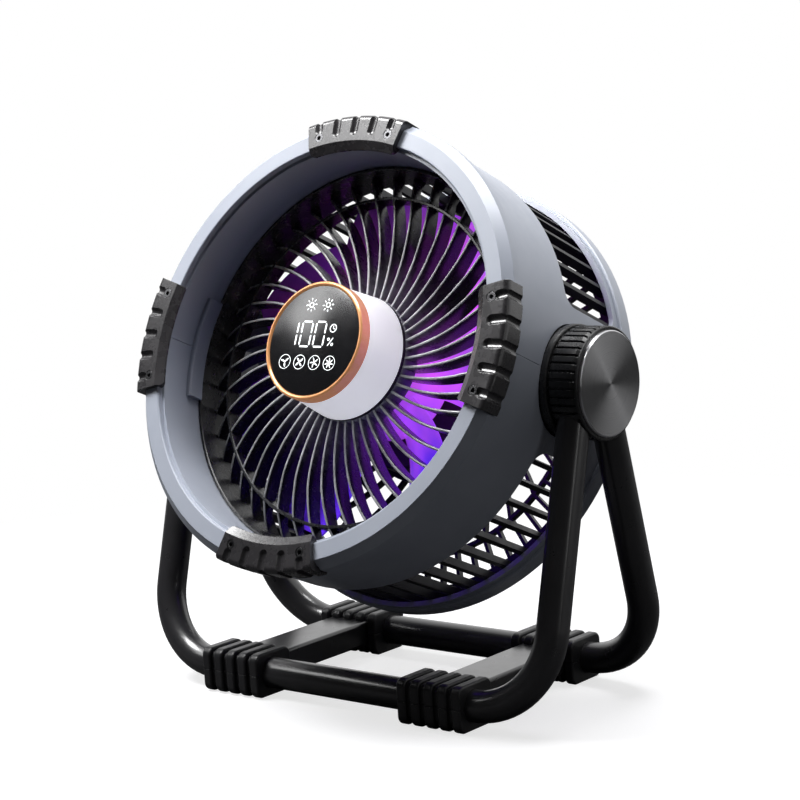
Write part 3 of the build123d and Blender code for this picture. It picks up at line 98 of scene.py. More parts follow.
class Builder:
    """Collects points and faces of one piece."""

    def __init__(self):
        self.points = []
        self.faces = []

    def grid(self, rows, close_rows=False, close_columns=False):
        """Four-cornered faces between rows of points, which may close on themselves both ways."""
        start = len(self.points)
        width = len(rows[0])
        height = len(rows)
        for row in rows:
            self.points.extend(row)
        for i in range(height if close_rows else height - 1):
            here = start + i * width
            after = start + ((i + 1) % height) * width
            for j in range(width if close_columns else width - 1):
                beside = (j + 1) % width
                self.faces.append((here + j, here + beside, after + beside, after + j))

    def lathe(self, profile, steps=180):
        """Closed ring about the fan axis: the profile is (radius, ahead) in millimetres."""
        rows = []
        for step in range(steps):
            angle = 2 * math.pi * step / steps
            rows.append([polar(radius, angle, ahead) for radius, ahead in profile])
        self.grid(rows, close_rows=True, close_columns=True)

    def plate(self, outline, low, high):
        """Flat plate on the head: the outline is (right, up), between two distances ahead."""
        count = len(outline)
        first = len(self.points)
        self.points.extend(head(right, up, low) for right, up in outline)
        self.points.extend(head(right, up, high) for right, up in outline)
        self.faces.append(tuple(range(first, first + count)))
        self.faces.append(tuple(range(first + count, first + 2 * count)))
        for i in range(count):
            j = (i + 1) % count
            self.faces.append((first + i, first + j, first + count + j, first + count + i))


# ---------------------------------------------------------------- node helpers
MIX_A, MIX_B, MIX_RESULT = 6, 7, 2  # the colour sockets of a Mix node
RIM_FULL, RIM_NONE = 0.72, 0.98  # how well the rounded normal agrees with the face's own


def rgb(red, green, blue):
    return (red, green, blue, 1.0)


def lighter(colour, factor, lift=0.0):
    """The same hue, brighter, and never above white."""
    return tuple(min(1.0, part * factor + lift) for part in colour[:3]) + (1.0,)


class Nodes:
    """Adds nodes to a node tree by short calls."""

    def __init__(self, tree):
        self.tree = tree

    def put(self, socket, value):
        """Links a node's output to the socket, or sets a constant on it."""
        if isinstance(value, bpy.types.NodeSocket):
            self.tree.links.new(value, socket)
        else:
            socket.default_value = value

    def node(self, kind, **inputs):
        """A new node, with values for its inputs: a name's _ stands for a space."""
        made = self.tree.nodes.new(kind)
        for key, value in inputs.items():
            self.put(made.inputs[key.replace("_", " ")], value)
        return made

    def operate(self, kind, operation, values):
        """A new node of a kind that has an operation to choose."""
        made = self.tree.nodes.new(kind)
        made.operation = operation
        for socket, value in zip(made.inputs, values):
            self.put(socket, value)
        return made

    def math(self, operation, first, second=0.0):
        """The result of a sum on one or two numbers."""
        return self.operate("ShaderNodeMath", operation, (first, second)).outputs[0]

    def measure(self, operation, *vectors):
        """A vector operation that gives one number, such as a length or a dot product."""
        return self.operate("ShaderNodeVectorMath", operation, vectors).outputs["Value"]

    def span(self, value, low, high, to_low, to_high, kind="LINEAR"):
        """Maps low to high onto to_low to to_high, and stays level outside."""
        made = self.tree.nodes.new("ShaderNodeMapRange")
        made.interpolation_type = kind
        for socket, item in zip(made.inputs[:5], (value, low, high, to_low, to_high)):
            self.put(socket, item)
        return made.outputs[0]

    def vary(self, noise, to_low, to_high):
        """Maps the usual reach of a noise onto this range."""
        return self.span(noise, 0.3, 0.7, to_low, to_high)

    def mix(self, factor, first, second):
        """A colour between two."""
        made = self.node("ShaderNodeMix", Factor=factor)
        made.data_type = "RGBA"
        self.put(made.inputs[MIX_A], first)
        self.put(made.inputs[MIX_B], second)
        return made.outputs[MIX_RESULT]

    def place(self):
        """Where on the object a point lies, in metres, in the pose at rest."""
        return self.node("ShaderNodeTexCoord").outputs["Object"]

    def distance(self, point):
        """How far a point of the object lies from this one, in metres."""
        return self.measure("DISTANCE", self.place(), point)

    def reach(self, direction):
        """How far from the tilt axis a point lies in this direction, in metres."""
        along_it = self.measure("DOT_PRODUCT", self.place(), direction)
        return self.math("SUBTRACT", along_it, PIVOT.dot(direction))

    def length_of(self, first, second):
        """Length of the slanting side over two others at a right angle."""
        first_square = self.math("MULTIPLY", first, first)
        second_square = self.math("MULTIPLY", second, second)
        return self.math("SQRT", self.math("ADD", first_square, second_square))

    def noise(self, size, detail=3.0, rough=0.55, vector=None):
        """Noise whose blobs are about this many millimetres across."""
        made = self.node("ShaderNodeTexNoise", Scale=1.0 / (size * MM), Detail=detail, Roughness=rough)
        self.put(made.inputs["Vector"], vector or self.place())
        return made.outputs["Fac"]


class Shade(Nodes):
    """A Principled material."""

    def __init__(self, name):
        self.material = bpy.data.materials.new(name)
        self.material.use_nodes = True
        super().__init__(self.material.node_tree)
        self.shader = self.tree.nodes["Principled BSDF"]

    def set(self, **values):
        """Puts values on the shader's sockets: a name's _ stands for a space."""
        for key, value in values.items():
            self.put(self.shader.inputs[key.replace("_", " ")], value)

    def rounded(self, radius):
        """The normal with the edges rounded by this many millimetres."""
        bevel = self.node("ShaderNodeBevel", Radius=radius * MM)
        bevel.samples = 4
        return bevel.outputs[0]

    def rim(self, rounded):
        """1 near the piece's edges and 0 on its faces, from the rounded normal."""
        plain = self.node("ShaderNodeNewGeometry").outputs["Normal"]
        return self.span(self.measure("DOT_PRODUCT", rounded, plain), RIM_FULL, RIM_NONE, 1.0, 0.0)

    def bump(self, height, strength, distance, normal=None):
        """A normal roughened by this height, whose full depth is the distance in millimetres."""
        made = self.node("ShaderNodeBump", Strength=strength, Distance=distance * MM, Height=height)
        if normal is not None:
            self.put(made.inputs["Normal"], normal)
        return made.outputs[0]


# ---------------------------------------------------------------- materials
MOUTH_EDGE = (120.5, 121.5)  # radius at which the mouth's wall ends, in millimetres
MOUTH_SHADE_SIDE = outward(120)  # the side of the wall with the darkest painted shade
CAP_FLAT = 28.9  # radius of the turned cap inside its bevel, in millimetres
CAP_RINGS = 0.75  # from one turned ring to the next, in millimetres
# the lamp's middle, from which light and highlight are painted on the fins
LAMP_MIDDLE = head(0, 0, 30)
DISPLAY_MIDDLE = head(0, 0, 71)
DISPLAY_RADIUS = 31.5
PAINTED_GLOW_SIDE = outward(-8)  # the side on which the wheel's painted glow is brightest


def painted_mouth_shadow(s, body):
    """Painted shade on the mouth's inner wall, darker inwards and towards its upper left."""
    radius = s.length_of(s.reach(RIGHT), s.reach(UP))
    on_wall = s.span(radius, MOUTH_EDGE[0] * MM, MOUTH_EDGE[1] * MM, 1.0, 0.0)
    inward = s.span(s.reach(FORWARD), 44 * MM, 66 * MM, 1.0, 0.55)
    sideways = s.span(s.reach(MOUTH_SHADE_SIDE), -25 * MM, 75 * MM, 0.0, 1.0)
    # mixes the painted shade into the wall's colour
    painted_shade = s.math("MULTIPLY", on_wall, s.math("MULTIPLY", inward, sideways))
    return s.mix(painted_shade, body, rgb(0.09, 0.107, 0.165))


def plastic(name, dark, light, rough, grain, depth, edge, edge_light, specular, coat=0.0, shadow=None):
    """Moulded plastic between two tones: soft drifts in colour and gloss, and edges lighter from wear and a
    painted highlight.

    The size of its grain, the grain's depth and the radius of its edges are in millimetres. A shadow
    function, where given, paints shade on its colour.
    """
    s = Shade(name)
    rounded = s.rounded(edge)
    grime = s.noise(7.0, 4.0, 0.6)
    body = s.mix(s.vary(s.noise(38.0, 2.0), 0.0, 1.0), dark, light)
    if shadow:
        body = shadow(s, body)
    # edges lighter: partly real wear, partly a painted highlight
    wear_and_sheen = s.math("MULTIPLY", s.rim(rounded), s.span(grime, 0.35, 0.7, 0.3 * edge_light, edge_light))
    s.set(
        Base_Color=s.mix(wear_and_sheen, body, lighter(light, 1.9, 0.03)),
        Roughness=s.span(grime, 0.3, 0.75, rough - 0.05, rough + 0.08),
        Normal=s.bump(s.noise(grain, 2.0), 0.35, depth, rounded),
        Specular_IOR_Level=specular,
        Coat_Weight=coat,
        Coat_Roughness=0.12,
    )
    return s.material


def tube_paint():
    """Satin black powder coat over steel tube, with its fine orange peel."""
    s = Shade("tube_paint")
    drift = s.vary(s.noise(30.0, 2.0), 0.0, 1.0)
    s.set(
        Base_Color=s.mix(drift, rgb(0.020, 0.020, 0.022), rgb(0.030, 0.029, 0.032)),
        Roughness=s.vary(s.noise(9.0, 4.0), 0.27, 0.33),
        Normal=s.bump(s.noise(1.6, 2.0, 0.4), 0.05, 0.004),
        Specular_IOR_Level=0.55,
        Coat_Weight=0.6,
        Coat_Roughness=0.18,
    )
    return s.material


def fin_side():
    """Sides of the fins: glossy black with painted lamp light, greying towards the lamp."""
    s = Shade("grille_fin_black")
    near = s.span(s.distance(LAMP_MIDDLE), 38 * MM, 74 * MM, 1.0, 0.0)
    # painted lamp light: grey that grows towards the lamp
    painted_lamp_light = s.math("MULTIPLY", s.math("POWER", near, 1.6), s.vary(s.noise(20.0, 2.0), 0.7, 1.0))
    s.set(
        Base_Color=s.mix(painted_lamp_light, rgb(0.011, 0.011, 0.013), rgb(0.30, 0.29, 0.33)),
        Roughness=s.span(s.noise(7.0, 4.0, 0.6), 0.3, 0.75, 0.22, 0.34),
        Normal=s.bump(s.noise(0.4, 2.0), 0.3, 0.006),
        Specular_IOR_Level=0.55,
    )
    return s.material


def fin_front():
    """Front edges of the fins: black with a painted highlight, brightest by the lamp."""
    s = Shade("grille_edge_painted_highlight")
    near = s.span(s.distance(LAMP_MIDDLE), 38 * MM, 112 * MM, 1.0, 0.25)
    painted_edge_highlight = s.math("MULTIPLY", near, s.vary(s.noise(11.0, 3.0), 0.55, 1.0))
    # painted highlight, strongest near the lamp
    s.set(
        Base_Color=s.mix(painted_edge_highlight, rgb(0.03, 0.03, 0.032), rgb(0.80, 0.80, 0.83)),
        Roughness=s.vary(s.noise(5.0, 3.0), 0.22, 0.32),
        Normal=s.bump(s.noise(0.8, 2.0), 0.1, 0.01),
        Specular_IOR_Level=0.6,
    )
    return s.material


def metal(name, colour, rough, edge=0.25):
    """Bare metal with fine scuffs in its tone and gloss."""
    s = Shade(name)
    scuff = s.noise(4.0, 5.0, 0.65)
    s.set(
        Base_Color=s.mix(s.vary(scuff, 0.0, 1.0), colour, lighter(colour, 1.25)),
        Metallic=1.0,
        Roughness=s.vary(scuff, rough * 0.8, rough * 1.25),
        Normal=s.bump(s.noise(0.8, 2.0), 0.3, 0.006, s.rounded(edge)),
    )
    return s.material


def turned_cap():
    """Dark anodised disc, turned about the tilt axis, with a bright cut bevel."""
    s = Shade("turned_cap")
    parts = s.node("ShaderNodeSeparateXYZ", Vector=s.place())
    back = s.math("SUBTRACT", parts.outputs["Y"], PIVOT.y)
    up = s.math("SUBTRACT", parts.outputs["Z"], PIVOT.z)
    radius = s.length_of(back, up)
    rings = s.math("SINE", s.math("MULTIPLY", radius, 2 * math.pi / (CAP_RINGS * MM)))
    fine = s.noise(0.3, 2.0, vector=s.node("ShaderNodeCombineXYZ", X=radius).outputs[0])
    bevel = s.span(radius, CAP_FLAT * MM, (CAP_FLAT + 0.15) * MM, 0.0, 1.0)
    dark = s.mix(fine, rgb(0.19, 0.19, 0.195), rgb(0.42, 0.42, 0.43))
    grooves = s.math("ADD", s.math("MULTIPLY", rings, 0.5), s.math("MULTIPLY", fine, 0.5))
    height = s.math("MULTIPLY", s.math("SUBTRACT", 1.0, bevel), grooves)
    turning = s.node("ShaderNodeTangent")
    turning.direction_type = "RADIAL"
    turning.axis = "X"
    s.set(
        Base_Color=s.mix(bevel, dark, rgb(0.80, 0.80, 0.82)),
        Metallic=1.0,
        Roughness=s.vary(fine, 0.26, 0.34),
        Normal=s.bump(height, 0.35, 0.03),
        Tangent=turning.outputs[0],
        Anisotropic=0.95,
        Anisotropic_Rotation=0.25,
    )
    return s.material


def copper():
    """Rose copper trim, half metallic, with a painted warm glow, though it is no lamp, that keeps its
    colour in the dim room.
    """
    s = Shade("bezel_rose_copper")
    brushed = s.noise(2.5, 4.0, 0.6)
    s.set(
        Base_Color=s.mix(brushed, rgb(0.95, 0.40, 0.14), rgb(1.0, 0.56, 0.30)),
        Metallic=0.45,
        Roughness=s.vary(brushed, 0.16, 0.26),
        # painted glow, though the trim is no lamp
        Emission_Color=rgb(1.0, 0.43, 0.17),
        Emission_Strength=0.17,
        Normal=s.bump(s.noise(0.6, 2.0), 0.15, 0.01, s.rounded(0.3)),
    )
    return s.material


def opal():
    """Opal lamp wall: white, soft, with a faint glow of its own."""
    s = Shade("opal_white")
    white = s.mix(s.noise(16.0, 3.0), rgb(0.80, 0.80, 0.83), rgb(0.88, 0.88, 0.90))
    s.set(
        Base_Color=white,
        Roughness=s.vary(s.noise(3.0, 3.0), 0.26, 0.36),
        Emission_Color=white,
        Emission_Strength=0.50,
        Normal=s.bump(s.noise(0.8, 2.0), 0.12, 0.01, s.rounded(0.4)),
    )
    return s.material


def black_glass():
    """Black touch glass that shades as a low dome, with faint smears."""
    s = Shade("display_glass_black")
    smear = s.noise(14.0, 4.0, 0.6)
    from_middle = s.math("DIVIDE", s.distance(DISPLAY_MIDDLE), DISPLAY_RADIUS * MM)
    dome = s.math("MULTIPLY", s.math("POWER", from_middle, 2.0), -1.0)
    s.set(
        Base_Color=s.mix(smear, rgb(0.004, 0.004, 0.005), rgb(0.008, 0.008, 0.010)),
        Roughness=s.vary(smear, 0.16, 0.20),
        Normal=s.bump(dome, 1.0, 2.2, s.rounded(0.3)),
        Specular_IOR_Level=0.8,
        Coat_Weight=0.4,
        Coat_Roughness=0.05,
    )
    return s.material


def glow(name, colour, strength):
    """A sign or lamp of one colour that gives light of its own."""
    s = Shade(name)
    tone = s.mix(s.noise(1.5, 2.0), colour, lighter(colour, 1.1))
    s.set(Base_Color=tone, Roughness=0.5, Emission_Color=tone, Emission_Strength=strength)
    return s.material


def violet():
    """Tinted wheel plastic, magenta by the hub and blue-violet at the tips and lower down, with a painted
    glow, bright on one side and nearly none on the other.
    """
    s = Shade("wheel_violet")
    from_hub = s.span(s.distance(PIVOT), 42 * MM, 100 * MM, 0.0, 0.5)
    below = s.span(s.reach(UP), -50 * MM, 40 * MM, 0.65, 0.0)
    cloud = s.span(s.noise(30.0, 2.0), 0.35, 0.65, -0.12, 0.12)
    bluer = s.math("ADD", s.math("ADD", from_hub, below), cloud)
    bluer = s.math("MINIMUM", s.math("MAXIMUM", bluer, 0.0), 1.0)
    base = s.mix(bluer, rgb(0.86, 0.14, 0.92), rgb(0.13, 0.03, 0.90))
    s.set(
        Base_Color=base,
        Roughness=s.vary(s.noise(6.0, 3.0), 0.16, 0.26),
        Emission_Color=base,
        # painted glow, bright on one side of the wheel and nearly none on the other
        Emission_Strength=s.span(s.reach(PAINTED_GLOW_SIDE), -30 * MM, 45 * MM, 0.01, 0.85),
        Normal=s.bump(s.noise(2.0, 2.0), 0.1, 0.02, s.rounded(0.5)),
        Coat_Weight=0.5,
        Coat_Roughness=0.08,
    )
    return s.material


shell_paint = plastic(
    "shell_blue_grey",
    rgb(0.37, 0.40, 0.47),
    rgb(0.41, 0.44, 0.51),
    rough=0.34, grain=0.35, depth=0.010, edge=0.35, edge_light=0.10, specular=0.5,
    shadow=painted_mouth_shadow,
)
grille_black = plastic(
    "grille_black",
    rgb(0.008, 0.008, 0.010),
    rgb(0.013, 0.013, 0.016),
    rough=0.26, grain=0.4, depth=0.006, edge=0.35, edge_light=0.10, specular=0.55,
)
basket_black = plastic(
    "basket_black",
    rgb(0.008, 0.008, 0.010),
    rgb(0.013, 0.013, 0.015),
    rough=0.40, grain=0.4, depth=0.01, edge=0.35, edge_light=0.10, specular=0.30,
)
bumper_black = plastic(
    "bumper_black",
    rgb(0.024, 0.023, 0.025),
    rgb(0.035, 0.033, 0.036),
    rough=0.27, grain=0.4, depth=0.012, edge=0.5, edge_light=0.25, specular=0.6, coat=0.2,
)
clamp_black = plastic(
    "clamp_black",
    rgb(0.018, 0.018, 0.020),
    rgb(0.028, 0.028, 0.030),
    rough=0.34, grain=0.5, depth=0.02, edge=0.5, edge_light=0.20, specular=0.45,
)
drum_black = plastic(
    "drum_black",
    rgb(0.013, 0.013, 0.014),
    rgb(0.021, 0.021, 0.022),
    rough=0.28, grain=0.5, depth=0.01, edge=0.4, edge_light=0.20, specular=0.5,
)
inner_black = plastic(
    "inner_black",
    rgb(0.012, 0.012, 0.014),
    rgb(0.02, 0.02, 0.022),
    rough=0.5, grain=0.6, depth=0.02, edge=0.4, edge_light=0.1, specular=0.35,
)
fibre = plastic(
    "washer_fibre",
    rgb(0.12, 0.05, 0.03),
    rgb(0.18, 0.08, 0.05),
    rough=0.7, grain=0.3, depth=0.03, edge=0.2, edge_light=0.2, specular=0.3,
)
board_green = plastic(
    "board_green",
    rgb(0.01, 0.07, 0.03),
    rgb(0.015, 0.10, 0.045),
    rough=0.4, grain=1.5, depth=0.02, edge=0.2, edge_light=0.2, specular=0.5,
)
cell_wrap = plastic(
    "cell_wrap",
    rgb(0.03, 0.12, 0.35),
    rgb(0.04, 0.16, 0.42),
    rough=0.25, grain=3.0, depth=0.02, edge=0.4, edge_light=0.1, specular=0.5,
)
tube_black = tube_paint()
fin_black = fin_side()
fin_edge = fin_front()
steel = metal("steel_zinc", rgb(0.46, 0.46, 0.48), 0.32)
dark_steel = metal("screw_black_steel", rgb(0.11, 0.11, 0.115), 0.24, edge=0.3)
brass = metal("brass_turned", rgb(0.66, 0.44, 0.17), 0.3)
ferrite = metal("ferrite", rgb(0.05, 0.05, 0.055), 0.6)
laminated = metal("stator_iron", rgb(0.25, 0.17, 0.12), 0.5)
cap_metal = turned_cap()
copper_bezel = copper()
opal_white = opal()
glass_black = black_glass()
violet_painted_glow = violet()
sign_white = glow("sign_white", rgb(0.90, 0.95, 0.97), 1.0)
led_white = glow("led_white", rgb(0.90, 0.88, 0.75), 0.6)

finish_by_slot = {
    "stand_tube": tube_black,
    "clamp_plastic": clamp_black,
    "black_plastic": inner_black,
    "bumper_plastic": bumper_black,
    "shell_plastic": shell_paint,
    "housing_plastic": inner_black,
    "cap_metal": cap_metal,
    "steel": steel,
    "bush_brass": brass,
    "fibre": fibre,
    "diffuser": opal_white,
    "bezel_copper": copper_bezel,
    "display_glass": glass_black,
    "board": board_green,
    "led_white": led_white,
    "wheel_violet": violet_painted_glow,
    "magnet": ferrite,
    "stator_iron": laminated,
    "cell_wrap": cell_wrap,
}
finish_by_node = {
    "front_grille": grille_black,
    "rear_basket": basket_black,
    "pivot_housing_left": drum_black,
    "pivot_housing_right": drum_black,
    "joint_cover_left": shell_paint,
    "joint_cover_right": shell_paint,
    "bumper_screws": dark_steel,
    "rear_screws": dark_steel,
    "clamp_screws": dark_steel,
}
for part in frame["record"]["subparts"]:
    node = nodes[part["node"]]
    finish = finish_by_node.get(part["node"]) or finish_by_slot[part["material_slot"]]
    if not node.material_slots:
        node.data.materials.append(finish)
    for material_slot in node.material_slots:
        material_slot.material = finish

# ---------------------------------------------------------------- front grille with rounded fins
# all sizes in millimetres; a profile is (radius, ahead)
FIN_COUNT = 45
FIN_START, FIN_END = 37.4, 116.7  # radii between which a fin runs
FIN_STATIONS = 30
FIN_FRONT = ((36.0, 33.6), (78.0, 33.6), (100.0, 31.4), (111.0, 26.6), (116.8, 23.0))
FIN_BACK = ((36.0, 21.5), (107.0, 21.5), (116.8, 12.0))
HALF_FRONT, HALF_MIDDLE, HALF_BACK = 0.85, 0.8, 0.62  # half of a fin's thickness
FRONT_ARCS = 6  # flats that round the front edge
FIN_POINTS = FRONT_ARCS + 5  # points of a fin's section
FRONT_STRIPS = range(3, 7)  # faces of the section that carry the painted edge highlight
HUB_RADIUS = 38.2
FIN_TURN, FIN_SWEEP, FIN_CURL = 2.5, 0.161, 0.0011  # degrees at the hub, per mm and per square mm
FIN_SHARP = 40  # degrees above which an edge of the grille shades sharp
ROUND_STEPS = 240  # corners of the two wide rings
HUB_RING = (
    (35.6, 24.0),
    (35.6, 33.0),
    (36.0, 33.5),
    (37.8, 33.5),
    (38.2, 33.0),
    (38.2, 21.5),
    (0.6, 21.5),
    (0.6, 24.0),
)
MIDDLE_RING = ((99.0, 21.5), (99.0, 31.0), (99.4, 31.4), (100.6, 31.4), (101.0, 31.0), (101.0, 21.5))
COLLAR = ((115.65, 12.0), (115.65, 37.5), (116.1, 38.0), (117.4, 38.0), (117.85, 37.5), (117.85, 12.0))


def fin_angle(radius):
    """How far round the axis a fin has swept at this radius, in radians."""
    out = radius - HUB_RADIUS
    return math.radians(FIN_TURN + FIN_SWEEP * out + FIN_CURL * out * out)


def height_at(profile, radius):
    """Straight-line reading between the corners of a profile."""
    for (before, low), (after, high) in zip(profile, profile[1:]):
        if radius <= after:
            return low + (high - low) * max(0.0, radius - before) / (after - before)
    return profile[-1][1]


def fin_section(front, back):
    """Outline across a fin: (to one side, ahead), from its back round its front edge."""
    middle = (front + back) / 2
    outline = [(-HALF_BACK, back), (-HALF_MIDDLE, middle)]
    for k in range(FRONT_ARCS + 1):
        angle = math.pi * k / FRONT_ARCS
        outline.append((-HALF_FRONT * math.cos(angle), front - HALF_FRONT + HALF_FRONT * math.sin(angle)))
    outline += [(HALF_MIDDLE, middle), (HALF_BACK, back)]
    return outline


def fin_rows(turn):
    """Rows of points of the fin that starts this far round the axis."""
    rows = []
    for i in range(FIN_STATIONS + 1):
        radius = FIN_START + (FIN_END - FIN_START) * i / FIN_STATIONS
        angle = fin_angle(radius) + turn
        per_millimetre = fin_angle(radius + 0.5) - fin_angle(radius - 0.5)
        slope = math.atan(per_millimetre * radius)
        across = (-math.sin(angle + slope), math.cos(angle + slope))
        row = []
        for aside, ahead in fin_section(height_at(FIN_FRONT, radius), height_at(FIN_BACK, radius)):
            right = radius * math.cos(angle) + across[0] * aside
            up = radius * math.sin(angle) + across[1] * aside
            row.append(head(right, up, ahead))
        rows.append(row)
    return rows


grille = Builder()
for number in range(FIN_COUNT):
    grille.grid(fin_rows(2 * math.pi * number / FIN_COUNT), close_columns=True)
fin_faces = len(grille.faces)
grille.lathe(HUB_RING)
grille.lathe(MIDDLE_RING, ROUND_STEPS)
grille.lathe(COLLAR, ROUND_STEPS)
grille_piece = add_mesh("front_grille_fins", grille.points, grille.faces, fin_black, "head")
sharpen(grille_piece, FIN_SHARP)
grille_piece.data.materials.append(fin_edge)
# the front strips take the material with the painted highlight
for face in grille_piece.data.polygons[:fin_faces]:
    if face.index % FIN_POINTS in FRONT_STRIPS:
        face.material_index = 1
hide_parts("front_grille")

# ---------------------------------------------------------------- signs on the display
# all places are (right, up) from the display's middle, in millimetres
SIGN_BACK = 71.0  # the display's face
SIGN_FRONT = 71.04
STROKE = 1.0  # width of the digits' strokes
THIN = 0.62  # width of the suns' rays and of the percent sign
HAND = 0.5  # width of the clock's hands
DIGIT_ROWS = ((10.35, 4.15), (3.2, -3.0))  # top and bottom of the upright strokes
DIGIT_COLUMNS = (-13.7, -10.5, -3.0, -0.1, 7.25)  # the 1, then two for each 0
DIGIT_WIDTHS = ((-10.0, -3.5), (0.4, 6.75))  # left and right end of each 0
DIGIT_TOP, DIGIT_BOTTOM = 11.1, -3.75
CLOCK = (12.9, 7.45)
CLOCK_RING = (2.55, 1.95)  # outer and inner radius, as for the other rings
CLOCK_HANDS = ((12.9, 7.3, 12.9, 9.0), (12.7, 7.45, 14.2, 6.9))
PERCENT_BAR = (10.9, -3.1, 14.3, 1.9)
PERCENT_DOTS = ((11.0, 0.9), (14.2, -2.1))
PERCENT_RING = (0.95, 0.45)
SUNS = ((-7.0, 21.1), (5.5, 21.2))
SUN_RING = (1.75, 1.15)
SUN_RAYS = 8
SUN_RAY = (2.5, 4.2)  # radii between which a ray runs
SUN_TURN = 0.1  # in radians
FAN_SIGNS = ((-18.6, 3), (-7.4, 4), (3.8, 5), (15.0, 7))  # place to the right and number of blades
FAN_SIGN_UP = -13.1
FAN_RING = (4.35, 4.0)
FAN_HUB = 0.62
BLADE_ROOT, BLADE_REACH, BLADE_TIP = 0.6, 2.6, 3.2  # radius it starts at, its length, radius it ends at
BLADE_STEPS = 5
BLADE_CURL = 0.32  # how far a blade bends round by its tip, in radians
BLADE_TURN = 0.4
WIDE_BLADE, SLIM_BLADE = 0.80, 0.55  # slim from five blades on


def sign_piece(name, outlines):
    """Thin raised plates with these outlines, as one piece on the display."""
    made = Builder()
    for outline in outlines:
        made.plate(outline, SIGN_BACK, SIGN_FRONT)
    piece = add_mesh(name, made.points, made.faces, sign_white, "head", smooth=False)


def around(right, up, radius, angle):
    """A point at this distance and angle in radians from another."""
    return (right + radius * math.cos(angle), up + radius * math.sin(angle))


def ring_parts(right, up, outer, inner, pieces):
    """A ring drawn as short four-cornered plates."""
    parts = []
    for i in range(pieces):
        start = 2 * math.pi * i / pieces
        end = 2 * math.pi * (i + 1) / pieces
        corners = ((outer, start), (outer, end), (inner, end), (inner, start))
        parts.append([around(right, up, radius, angle) for radius, angle in corners])
    return parts


def bar(start_right, start_up, end_right, end_up, width):
    """A straight stroke with pointed ends, as on a segment display."""
    length = math.hypot(end_right - start_right, end_up - start_up)
    right = (end_right - start_right) / length
    up = (end_up - start_up) / length
    half = width / 2
    return [
        (start_right, start_up),
        (start_right + right * half - up * half, start_up + up * half + right * half),
        (end_right - right * half - up * half, end_up - up * half + right * half),
        (end_right, end_up),
        (end_right - right * half + up * half, end_up - up * half - right * half),
        (start_right + right * half + up * half, start_up + up * half - right * half),
    ]


def disc(right, up, radius, pieces=16):
    """A round plate."""
    return [around(right, up, radius, 2 * math.pi * i / pieces) for i in range(pieces)]


def sun(right, up):
    """A small ring with rays round it."""
    parts = ring_parts(right, up, *SUN_RING, 16)
    for i in range(SUN_RAYS):
        angle = 2 * math.pi * i / SUN_RAYS + SUN_TURN
        start, end = (around(right, up, radius, angle) for radius in SUN_RAY)
        parts.append(bar(*start, *end, THIN))
    return parts


def fan_sign(right, up, blades):
    """A ring with a small fan wheel in it."""
    parts = ring_parts(right, up, *FAN_RING, 32)
    parts.append(disc(right, up, FAN_HUB))
    width = WIDE_BLADE if blades < 5 else SLIM_BLADE
    for i in range(blades):
        turn = 2 * math.pi * i / blades + BLADE_TURN
        front = []
        back = []
        for k in range(BLADE_STEPS + 1):
            radius = BLADE_ROOT + BLADE_REACH * k / BLADE_STEPS
            curl = turn + BLADE_CURL * radius / BLADE_TIP
            half = width * math.sin(math.pi * (0.12 + 0.80 * k / BLADE_STEPS)) / radius
            front.append(around(right, up, radius, curl + half * 0.9))
            back.append(around(right, up, radius, curl - half * 0.5))
        parts.append(front + back[::-1])
    return parts


signs = []
for top, bottom in DIGIT_ROWS:
    for column in DIGIT_COLUMNS:
        signs.append(bar(column, bottom, column, top, STROKE))
for left, right in DIGIT_WIDTHS:
    signs.append(bar(left, DIGIT_TOP, right, DIGIT_TOP, STROKE))
    signs.append(bar(left, DIGIT_BOTTOM, right, DIGIT_BOTTOM, STROKE))
signs += ring_parts(*CLOCK, *CLOCK_RING, 24)
for hand in CLOCK_HANDS:
    signs.append(bar(*hand, HAND))
signs.append(bar(*PERCENT_BAR, THIN))
for place in PERCENT_DOTS:
    signs += ring_parts(*place, *PERCENT_RING, 12)
for place in SUNS:
    signs += sun(*place)
for column, blades in FAN_SIGNS:
    signs += fan_sign(column, FAN_SIGN_UP, blades)
sign_piece("display_signs", signs)

# ---------------------------------------------------------------- floor
scene = bpy.context.scene
scene.view_settings.view_transform = "Standard"

FLOOR_HALF = 9
FLOOR_DROP = 0.0002  # the floor lies this far under the feet, so that no faces meet
floor_shade = Shade("floor_white")
rays = floor_shade.node("ShaderNodeLightPath").outputs
seen = floor_shade.math("MAXIMUM", rays["Is Camera Ray"], rays["Is Transmission Ray"])
floor_shade.set(
    Base_Color=floor_shade.mix(seen, rgb(0.03, 0.03, 0.032), rgb(0.34, 0.34, 0.35)),
    Roughness=0.6,
    Specular_IOR_Level=0.2,
    Emission_Color=rgb(1, 1, 1),
    Emission_Strength=floor_shade.math("MULTIPLY", seen, 0.72),
)
away = floor_shade.measure("LENGTH", floor_shade.place())
fade = floor_shade.span(away, 0.30, 0.70, 0.0, 1.0)
white = floor_shade.node("ShaderNodeEmission")
blend = floor_shade.node("ShaderNodeMixShader")
floor_shade.put(blend.inputs[0], floor_shade.math("MULTIPLY", fade, seen))
floor_shade.put(blend.inputs[1], floor_shade.shader.outputs[0])
floor_shade.put(blend.inputs[2], white.outputs[0])
floor_shade.put(floor_shade.tree.nodes["Material Output"].inputs["Surface"], blend.outputs[0])
floor_mesh = bpy.data.meshes.new("floor")
floor_corners = [(x * FLOOR_HALF, y * FLOOR_HALF, 0) for x, y in ((-1, -1), (1, -1), (1, 1), (-1, 1))]
floor_mesh.from_pydata(floor_corners, [], [(0, 1, 2, 3)])
floor_mesh.materials.append(floor_shade.material)
floor = bpy.data.objects.new("floor", floor_mesh)
floor.location.z = -FLOOR_DROP
scene.collection.objects.link(floor)

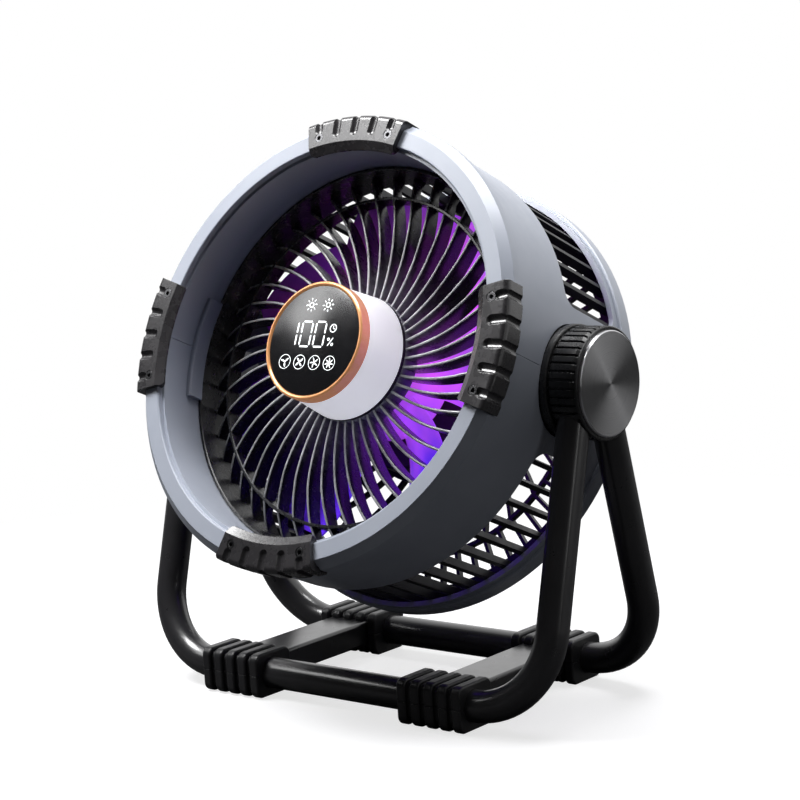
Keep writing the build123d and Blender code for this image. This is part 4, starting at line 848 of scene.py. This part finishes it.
# ---------------------------------------------------------------- world
# white all round for the camera; gloss sees it behind the object only, and the room is dim for the rest
ROOM_LIGHT = 0.03
world = bpy.data.worlds.new("studio")
scene.world = world
world.use_nodes = True
sky = Nodes(world.node_tree)
background = sky.tree.nodes["Background"]
path = sky.node("ShaderNodeLightPath").outputs
direction = sky.node("ShaderNodeTexCoord").outputs["Generated"]
backward = sky.node("ShaderNodeSeparateXYZ", Vector=direction).outputs["Y"]
backdrop = sky.span(backward, -0.20, 0.45, 0.0, 1.0, "SMOOTHSTEP")
gloss = sky.math("MULTIPLY", path["Is Glossy Ray"], backdrop)
seen_white = sky.math("MAXIMUM", path["Is Camera Ray"], path["Is Transmission Ray"])
strength = sky.math("MAXIMUM", seen_white, sky.math("MAXIMUM", gloss, ROOM_LIGHT))
sky.put(background.inputs["Color"], rgb(1, 1, 1))
sky.put(background.inputs["Strength"], strength)

# ---------------------------------------------------------------- lamps
LIGHT_TARGET = Vector((0, 0, 0.19))
AREA_LIGHTS = (  # name, place, width and height in metres, power in watts
    ("key_left", (-0.45, -0.32, 1.02), 0.40, 0.40, 14.5),
    ("top", (0.15, 0.20, 1.15), 0.6, 0.5, 12.0),
    ("strip_right", (1.25, -0.30, 0.60), 0.10, 0.9, 0.8),
    ("fill_left", (-0.89, -0.60, 0.93), 0.30, 0.30, 1.6),
)
for name, place, width, height, power in AREA_LIGHTS:
    data = bpy.data.lights.new(name, "AREA")
    data.shape = "RECTANGLE"
    data.size = width
    data.size_y = height
    data.energy = power
    light = bpy.data.objects.new(name, data)
    light.location = place
    light.rotation_mode = "QUATERNION"
    light.rotation_quaternion = (LIGHT_TARGET - Vector(place)).to_track_quat("-Z", "Y")
    scene.collection.objects.link(light)

# ---------------------------------------------------------------- the photograph's own camera
# its angles and its focal length were fitted to the circles of the head
AZIMUTH = math.radians(39.35)
ELEVATION = math.radians(7.81)
ROLL = math.radians(-3.4)
CAMERA_TARGET = Vector((0.0077, PIVOT.y, 0.1731))
CAMERA_DISTANCE = 1.2305
SENSOR_WIDTH = 36.0
FOCAL_PIXELS = 2066.3
FRAME_PIXELS = 800

back = Vector(
    (math.sin(AZIMUTH) * math.cos(ELEVATION), -math.cos(AZIMUTH) * math.cos(ELEVATION), math.sin(ELEVATION))
)
level = (-back).cross(Vector((0, 0, 1))).normalized()
top = level.cross(-back).normalized()
across = math.cos(ROLL) * level + math.sin(ROLL) * top
upright = -math.sin(ROLL) * level + math.cos(ROLL) * top
camera_data = bpy.data.cameras.new("camera")
camera_data.sensor_width = SENSOR_WIDTH
camera_data.lens = SENSOR_WIDTH * FOCAL_PIXELS / FRAME_PIXELS
camera_data.clip_start = 0.05
camera_data.clip_end = 60
camera = bpy.data.objects.new("camera", camera_data)
turn = Matrix((across, upright, back)).transposed().to_4x4()
camera.matrix_world = Matrix.Translation(CAMERA_TARGET + back * CAMERA_DISTANCE) @ turn
scene.collection.objects.link(camera)
scene.camera = camera
